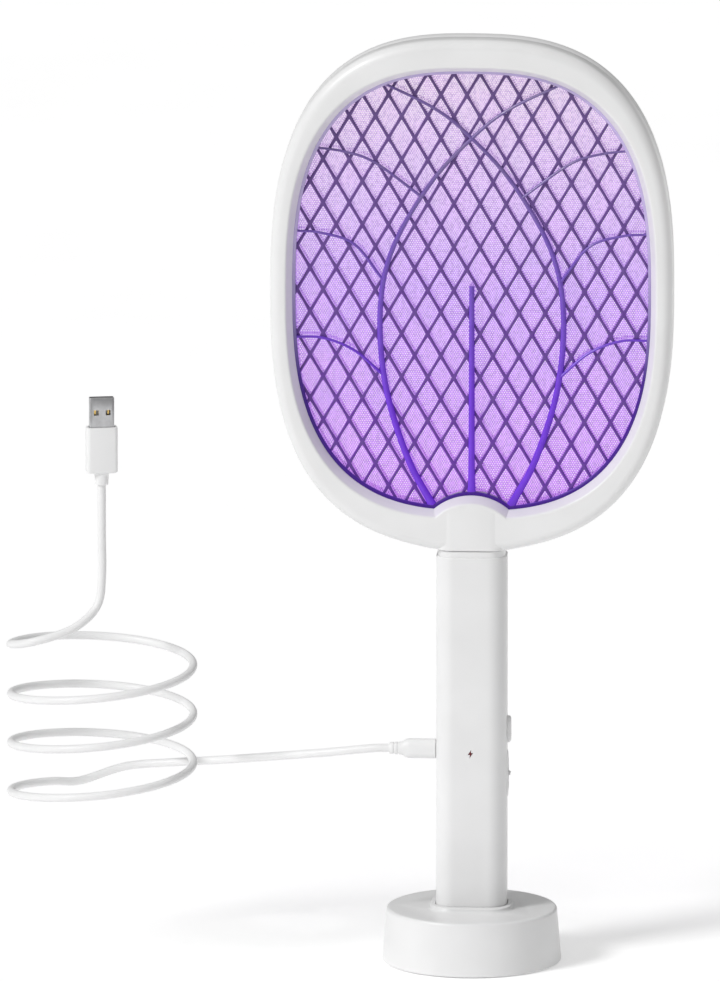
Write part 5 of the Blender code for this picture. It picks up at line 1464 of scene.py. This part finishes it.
def base_screws():
    for k, (x, y) in enumerate(base_screw_places(), 1):
        low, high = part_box(f"base_screw_{k}")
        head = low.z + MM
        profile = [(0.5 * MM, high.z), (1.2 * MM, high.z - 1.2 * MM), (1.2 * MM, head), (2.6 * MM, head)]
        profile += [(2.6 * MM, low.z + 0.35 * MM), (2.3 * MM, low.z + 0.1 * MM), (1.8 * MM, low.z)]
        screw(f"base_screw_{k}", (x, y), "Z", profile, low.z, -1, "base")


# ---------------------------------------------------------------- charging cable

PLUG_FACE = plug_high.x
PLUG_END = plug_low.x
PLUG_BODY_LENGTH = 14.1 * MM
PLUG_SHOULDER = 2.9 * MM
PLUG_HEIGHT = plug_high.z - plug_low.z
PLUG_DEPTH = plug_high.y - plug_low.y
CABLE_SOCKET = 4 * MM
USB_BOTTOM = usb_low.z
USB_FACE = usb_high.z
USB_RELIEF_LENGTH = 6 * MM
USB_WIDTH = 15.3 * MM
USB_DEPTH = 8 * MM
USB_SHELL_WIDTH = 12 * MM
USB_SHELL_DEPTH = 4.5 * MM
USB_SHELL_WALL = 0.35 * MM
USB_ROOT = 3.3 * MM
COIL_RADIUS = 44.4 * MM
COIL_TOP = 154.3 * MM
COIL_PITCH = 24.2 * MM
COIL_TURNS = 3


def cable_path():
    """Centre line: down from the USB plug, three and a quarter loops, then across to the handle."""
    top = USB_BOTTOM + CABLE_SOCKET
    path = [Vector((COIL_X, 0, top)), Vector((COIL_X, 0, USB_BOTTOM - 6 * MM))]
    drop = [
        (COIL_X, 0, 208.7 * MM),
        (COIL_X, 0, 187.7 * MM),
        (COIL_X - 2.5 * MM, -2.5 * MM, 173.7 * MM),
        (COIL_X - 14 * MM, -10 * MM, 164.2 * MM),
        (COIL_X - 33 * MM, -13 * MM, 158.2 * MM),
    ]
    coil = []
    per_turn = 20
    for k in range(COIL_TURNS * per_turn + 5):
        turn = k / per_turn
        angle = math.pi - 2 * math.pi * turn
        tilt = MM * (1 + math.cos(angle))
        x = COIL_X + COIL_RADIUS * math.cos(angle)
        coil.append((x, COIL_RADIUS * math.sin(angle), COIL_TOP - COIL_PITCH * turn + tilt))
    run = [
        (COIL_X + 8 * MM, 45.5 * MM, 84.2 * MM),
        (-150 * MM, 42 * MM, 87.2 * MM),
        (-125 * MM, 31 * MM, 91.2 * MM),
        (-100 * MM, 17 * MM, 96.2 * MM),
        (-72 * MM, 5 * MM, 101.2 * MM),
        (-50 * MM, 0.5 * MM, 104.5 * MM),
        (PLUG_END - 2 * MM, 0, SOCKET_Z),
    ]
    end = Vector((PLUG_END + CABLE_SOCKET, 0, SOCKET_Z))
    path += through([*drop, *coil, *run, end], 5)
    spaced = [path[0]]
    for point in path[1:]:
        if (point - spaced[-1]).length > 0.8 * MM:
            spaced.append(point)
    return spaced


def charge_cable():
    cable = to_object("charge_cable_detailed", sweep(cable_path(), lambda k: circle(CABLE_RADIUS, 24)))
    finished(cable, "charge_cable", "cable_white", "cable_white", "charge_cable")


def oval_loop(width, height, radius, x):
    outline = rounded_rectangle(width, height, radius, 10, (0, SOCKET_Z))
    return [Vector((x, y, z)) for y, z in outline]


def charge_plug():
    """Overmoulded plug: flat-sided grip, sloping shoulder, and a strain relief with two grooves."""
    body_end = PLUG_FACE - PLUG_BODY_LENGTH
    relief = body_end - PLUG_SHOULDER
    neck = 6.3
    stations = [(0.9, PLUG_FACE), (0.3, PLUG_FACE - 0.15 * MM), (0.06, PLUG_FACE - 0.4 * MM), (0, PLUG_FACE - 0.8 * MM)]
    stations += [(0, body_end + 1.2 * MM), (0.1, body_end + 0.6 * MM), (0.4, body_end + 0.15 * MM)]
    loops = []
    for inset, x in stations:
        width, height = PLUG_DEPTH - inset * MM, PLUG_HEIGHT - inset * MM
        loops.append(oval_loop(width, height, width / 2 - 0.05 * MM, x))
    for share in (0.25, 0.5, 0.75, 1.0):
        ease = share * share * (3 - 2 * share)
        width = PLUG_DEPTH - 0.5 * MM + (neck * MM + 0.05 * MM - PLUG_DEPTH + 0.5 * MM) * ease
        height = PLUG_HEIGHT - 0.6 * MM + ((neck + 0.2) * MM - PLUG_HEIGHT + 0.6 * MM) * ease
        loops.append(oval_loop(width, height, width / 2 - 0.05 * MM, body_end - PLUG_SHOULDER * share))
    length = relief - PLUG_END
    for share, drop in ((0.16, 0), (0.2, 0.7), (0.3, 0.7), (0.34, 0.05), (0.5, 0.15), (0.54, 0.85), (0.64, 0.85), (0.68, 0.2), (0.92, 0.4), (1.0, 0.9)):
        width = (neck - drop) * MM
        loops.append(oval_loop(width, width + 0.05 * MM, width / 2 - 0.05 * MM, relief - length * share))
    plug = to_object("charge_plug_overmould_detailed", skin(loops, closed=False), 45)
    root = rounded_rectangle(2.4 * MM + 2 * GAP, 8.2 * MM + 2 * GAP, 1.4 * MM, 8, (0, SOCKET_Z))
    bore = ((CABLE_RADIUS + GAP / 2, PLUG_END - MM), (CABLE_RADIUS + GAP / 2, PLUG_END + CABLE_SOCKET + GAP))
    carve(
        plug,
        "DIFFERENCE",
        prism(root, PLUG_FACE - USB_ROOT, PLUG_FACE + MM, "X"),
        turned(bore, (0, SOCKET_Z), "X", 32),
    )
    finished(plug, "charge_cable", "cable_white", "cable_white", "charge_plug_overmould")
    outline = rounded_rectangle(2.4 * MM, 8.2 * MM, 1.15 * MM, 10, (0, SOCKET_Z))
    tip = to_object("charge_plug_tip_detailed", prism(outline, tip_low.x, tip_high.x, "X"))
    hollow = rounded_rectangle(1.7 * MM, 7.5 * MM, 0.8 * MM, 8, (0, SOCKET_Z))
    carve(tip, "DIFFERENCE", prism(hollow, tip_high.x - 5 * MM, tip_high.x + MM, "X"))
    finished(tip, "charge_cable", "steel", "steel", "charge_plug_tip")


def usb_section(width, depth, radius, z, steps=8):
    return [Vector((x, y, z)) for x, y in rounded_rectangle(width, depth, radius, steps)]


def usb_overmould():
    """Flat grip with square shoulders and a round strain relief with a rolled lower lip."""
    body = USB_BOTTOM + USB_RELIEF_LENGTH
    stations = (
        (6.0, 5.6, 2.7, USB_BOTTOM),
        (6.5, 6.1, 2.95, USB_BOTTOM + 0.2 * MM),
        (6.7, 6.2, 3.0, USB_BOTTOM + 0.6 * MM),
        (6.5, 6.0, 2.9, USB_BOTTOM + 1.3 * MM),
        (7.0, 6.3, 3.0, body - 1.2 * MM),
        (7.4, 6.5, 3.0, body - 0.3 * MM),
        (13.4, 6.8, 2.6, body - 0.05 * MM),
        (14.6, 7.5, 2.3, body + 0.12 * MM),
        (15.1, 7.85, 2.1, body + 0.45 * MM),
        (15.3, 8.0, 2.0, body + 1.0 * MM),
        (15.3, 8.0, 2.0, USB_FACE - 0.8 * MM),
        (15.16, 7.86, 1.95, USB_FACE - 0.3 * MM),
        (14.8, 7.5, 1.8, USB_FACE - 0.05 * MM),
        (14.4, 7.1, 1.7, USB_FACE),
    )
    loops = [usb_section(w * MM, d * MM, r * MM, z) for w, d, r, z in stations]
    grip = to_object("usb_overmould_detailed", skin(loops, closed=False), 50)
    pocket = rounded_rectangle(USB_SHELL_WIDTH + 2 * GAP, USB_SHELL_DEPTH + 2 * GAP, 0.7 * MM, 4)
    bore = ((CABLE_RADIUS + GAP / 2, USB_BOTTOM - MM), (CABLE_RADIUS + GAP / 2, USB_BOTTOM + CABLE_SOCKET + GAP))
    carve(
        grip,
        "DIFFERENCE",
        prism(pocket, USB_FACE - USB_ROOT - GAP, USB_FACE + MM),
        turned(bore, segments=32),
    )
    return grip, "cable_white", "cable_white", "usb_overmould"


def usb_shell():
    """Stamped steel shell with rounded edges, latch windows front and back, and a folded seam."""
    low, high = shell_low.z, shell_high.z
    inset = USB_SHELL_WALL
    loops = []
    for shrink, z in ((0, low), (0, high - 0.25 * MM), (0.08 * MM, high - 0.06 * MM), (0.16 * MM, high)):
        loops.append(usb_section(USB_SHELL_WIDTH - 2 * shrink, USB_SHELL_DEPTH - 2 * shrink, 0.6 * MM, z, 6))
    for z in (high, low):
        loops.append(usb_section(USB_SHELL_WIDTH - 2 * inset, USB_SHELL_DEPTH - 2 * inset, 0.35 * MM, z, 6))
    shell = to_object("usb_shell_detailed", skin(loops, closed=True))
    latch_z = USB_FACE + 7.3 * MM
    windows = []
    for x in (-2.9 * MM, 2.9 * MM):
        outline = rounded_rectangle(2.4 * MM, 2.6 * MM, 0.2 * MM, 3, (x, latch_z))
        windows.append(prism(outline, -5 * MM, 5 * MM, "Y"))
    seam_y = USB_SHELL_DEPTH / 2
    seam = box((-0.06 * MM, 0.06 * MM), (seam_y - 0.12 * MM, seam_y + MM), (low - MM, high + MM))
    dimple = turned(((0.45 * MM, -seam_y - MM), (0.45 * MM, -seam_y + 0.1 * MM)), (0, USB_FACE + 2 * MM), "Y", 20)
    carve(shell, "DIFFERENCE", together(*windows), together(seam, dimple))
    return shell, "usb_steel", "steel", "usb_shell"


def usb_insides():
    low, high = shell_low.z, shell_high.z
    pieces = []
    loops = []
    for inset, z in ((0, low), (0, high - 1.6 * MM), (0.15, high - 1.3 * MM), (0.35, high - 1.2 * MM)):
        inset = inset * MM
        outline = rounded_rectangle(10.6 * MM - 2 * inset, 1.5 * MM - 2 * inset, 0.2 * MM, 3, (0, 0.85 * MM))
        loops.append([Vector((x, y, z)) for x, y in outline])
    pieces.append((to_object("usb_tongue_detailed", skin(loops, closed=False)), "tongue_white", "white_plastic", "usb_tongue"))
    for k in range(4):
        x = (k - 1.5) * 2.2 * MM
        strip = to_object(
            f"usb_contact_{k + 1}_detailed",
            prism(rounded_rectangle(MM, 0.25 * MM, 0.08 * MM, 3, (x, -0.325 * MM)), low, high - 2 * MM),
        )
        pieces.append((strip, "contact_gold", "contact_gold", f"usb_contact_{k + 1}"))
    return pieces


def usb_plug():
    """The USB plug's pieces, made about their own axis, then turned and set on the cable's end."""
    place = Matrix.Translation((COIL_X, 0, 0)) @ Matrix.Rotation(USB_YAW, 4, "Z")
    for target, surface, slot, node in (usb_overmould(), usb_shell(), *usb_insides()):
        target.data.transform(place)
        finished(target, "charge_cable", surface, slot, node)


# ---------------------------------------------------------------- inside the handle

INSIDE = {
    "front_spacer_ring": ("grey_plastic", "grey_plastic", 0.2),
    "rear_spacer_ring": ("grey_plastic", "grey_plastic", 0.2),
    "uv_led_board": ("circuit_board", "circuit_board", 0.1),
    "battery_cell": ("cell_wrap", "cell_wrap", 0.3),
    "battery_tab_bottom": ("steel", "steel", 0.1),
    "battery_tab_top": ("steel", "steel", 0.1),
    "control_board": ("circuit_board", "circuit_board", 0.1),
    "transformer_core": ("ferrite", "ferrite", 0.3),
    "transformer_coil": ("winding_tape", "winding_tape", 0.3),
    "hv_capacitor_lower": ("film_capacitor", "film_capacitor", 0.6),
    "hv_capacitor_upper": ("film_capacitor", "film_capacitor", 0.6),
    "push_switch_body": ("switch_black", "switch_black", 0.2),
    "push_switch_plunger": ("grey_plastic", "grey_plastic", 0.15),
    "slide_switch_body": ("switch_black", "switch_black", 0.2),
    "charge_socket": ("steel", "steel", 0.08),
    "indicator_led": ("led_body", "led_body", 0.15),
    "live_lead": ("lead_red", "lead_red", 0.0),
    "guard_lead": ("lead_black", "lead_black", 0.0),
    "lamp_lead": ("lead_white", "lead_white", 0.0),
}


def finish_insides():
    """Surfaces and softened edges for the CAD pieces that are kept as they are."""
    for node, (surface, slot, radius) in INSIDE.items():
        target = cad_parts[node]
        if not target.material_slots:
            target.data.materials.append(SURFACES[surface].material)
        for each in target.material_slots:
            each.material = SURFACES[surface].material
        if radius:
            bevel = target.modifiers.new("soften", "BEVEL")
            bevel.width = radius * MM
            bevel.segments = 2
            bevel.limit_method = "ANGLE"
            bevel.angle_limit = math.radians(50)


# ---------------------------------------------------------------- stage, light and camera

VIEW_AZIMUTH = math.radians(3.5)
VIEW_ELEVATION = math.radians(11.7)
VIEW_HEIGHT = 478.5 * MM
VIEW_RIGHT = -54.5 * MM
VIEW_UP = 228.7 * MM
VIEW_DISTANCE = 14.0
SENSOR = 36.0
KEY_STRENGTH = 1.65
SURROUND = 0.15  # strength of the white surround near the horizon
OVERHEAD = 0.79  # and straight above
FLOOR_GLOW = 0.25


def camera():
    """Long lens, a little above the swatter and a few degrees round to its button side."""
    a, e = VIEW_AZIMUTH, VIEW_ELEVATION
    back = Vector((math.sin(a) * math.cos(e), -math.cos(a) * math.cos(e), math.sin(e)))
    right = Vector((math.cos(a), math.sin(a), 0))
    up = back.cross(right)
    data = bpy.data.cameras.new("camera")
    data.sensor_width = SENSOR
    data.lens = SENSOR / VIEW_HEIGHT * VIEW_DISTANCE
    data.clip_end = 100
    made = bpy.data.objects.new("camera", data)
    made.location = right * VIEW_RIGHT + up * VIEW_UP + back * VIEW_DISTANCE
    made.rotation_mode = "QUATERNION"
    made.rotation_quaternion = (-back).to_track_quat("-Z", "Y")
    bpy.context.scene.collection.objects.link(made)
    bpy.context.scene.camera = made


def floor():
    """A wide pale floor, with the faintest unevenness."""
    sheet = bmesh.new()
    bmesh.ops.create_grid(sheet, x_segments=8, y_segments=8, size=20)
    made = to_object("floor", sheet)
    paper = Surface("pale_floor")
    tone = paper.between(paper.noise(0.5, 3), 0.0, 1.0)
    paper.set("Base Color", paper.mix(tone, (0.92, 0.92, 0.92), (0.94, 0.94, 0.94)))
    paper.set("Roughness", paper.between(paper.noise(0.05, 3), 0.75, 0.85))
    paper.set("Emission Color", (1, 1, 1, 1))
    paper.set("Emission Strength", FLOOR_GLOW)
    made.data.materials.append(paper.material)


def sun(name, azimuth, elevation, strength, softness):
    """A distant lamp; azimuth 0 stands in front of the swatter, and negative is to its left."""
    data = bpy.data.lights.new(name, "SUN")
    data.energy = strength
    data.angle = math.radians(softness)
    made = bpy.data.objects.new(name, data)
    a, e = math.radians(azimuth), math.radians(elevation)
    towards = Vector((math.sin(a) * math.cos(e), -math.cos(a) * math.cos(e), math.sin(e)))
    made.rotation_mode = "QUATERNION"
    made.rotation_quaternion = towards.to_track_quat("Z", "Y")
    bpy.context.scene.collection.objects.link(made)


def studio():
    """Soft key from the left, and a white surround that is brightest overhead."""
    sun("key", -50, 38, KEY_STRENGTH, 16)
    data = bpy.data.lights.new("strip", "AREA")
    data.shape = "RECTANGLE"
    data.size, data.size_y = 0.35, 1.2
    data.energy = 1.2
    strip = bpy.data.objects.new("strip", data)
    strip.location = (-0.9, -1.3, 0.75)
    aim = Vector((0, 0, 0.22)) - strip.location
    strip.rotation_mode = "QUATERNION"
    strip.rotation_quaternion = aim.to_track_quat("-Z", "Y")
    bpy.context.scene.collection.objects.link(strip)

    world = bpy.data.worlds.new("surround")
    world.use_nodes = True
    tree = world.node_tree
    background = tree.nodes["Background"]
    background.inputs["Color"].default_value = (1, 1, 1, 1)
    path = tree.nodes.new("ShaderNodeLightPath")
    strength = tree.nodes.new("ShaderNodeMapRange")
    direction = tree.nodes.new("ShaderNodeTexCoord")
    split = tree.nodes.new("ShaderNodeSeparateXYZ")
    above = tree.nodes.new("ShaderNodeMapRange")
    above.inputs["From Min"].default_value = 0.25
    above.inputs["To Min"].default_value = SURROUND
    above.inputs["To Max"].default_value = OVERHEAD
    tree.links.new(direction.outputs["Generated"], split.inputs["Vector"])
    tree.links.new(split.outputs["Z"], above.inputs["Value"])
    tree.links.new(above.outputs["Result"], strength.inputs["To Min"])
    strength.inputs["To Max"].default_value = 1.0
    tree.links.new(path.outputs["Is Camera Ray"], strength.inputs["Value"])
    tree.links.new(strength.outputs["Result"], background.inputs["Strength"])
    bpy.context.scene.world = world
    bpy.context.scene.view_settings.view_transform = "Standard"


# ---------------------------------------------------------------- assembly

for half in (FRONT, REAR):
    head_frame(half)
    handle_shell(half)
head_screws()
guard_mesh()
live_mesh()
rib_frames()
uv_lamps()
handle_screws()
bolt_window_lens()
push_button()
slide_knob()
button_spring()
base_shell()
base_plate()
base_weight()
foot_pad()
base_screws()
charge_cable()
charge_plug()
usb_plug()
finish_insides()
floor()
studio()
camera()
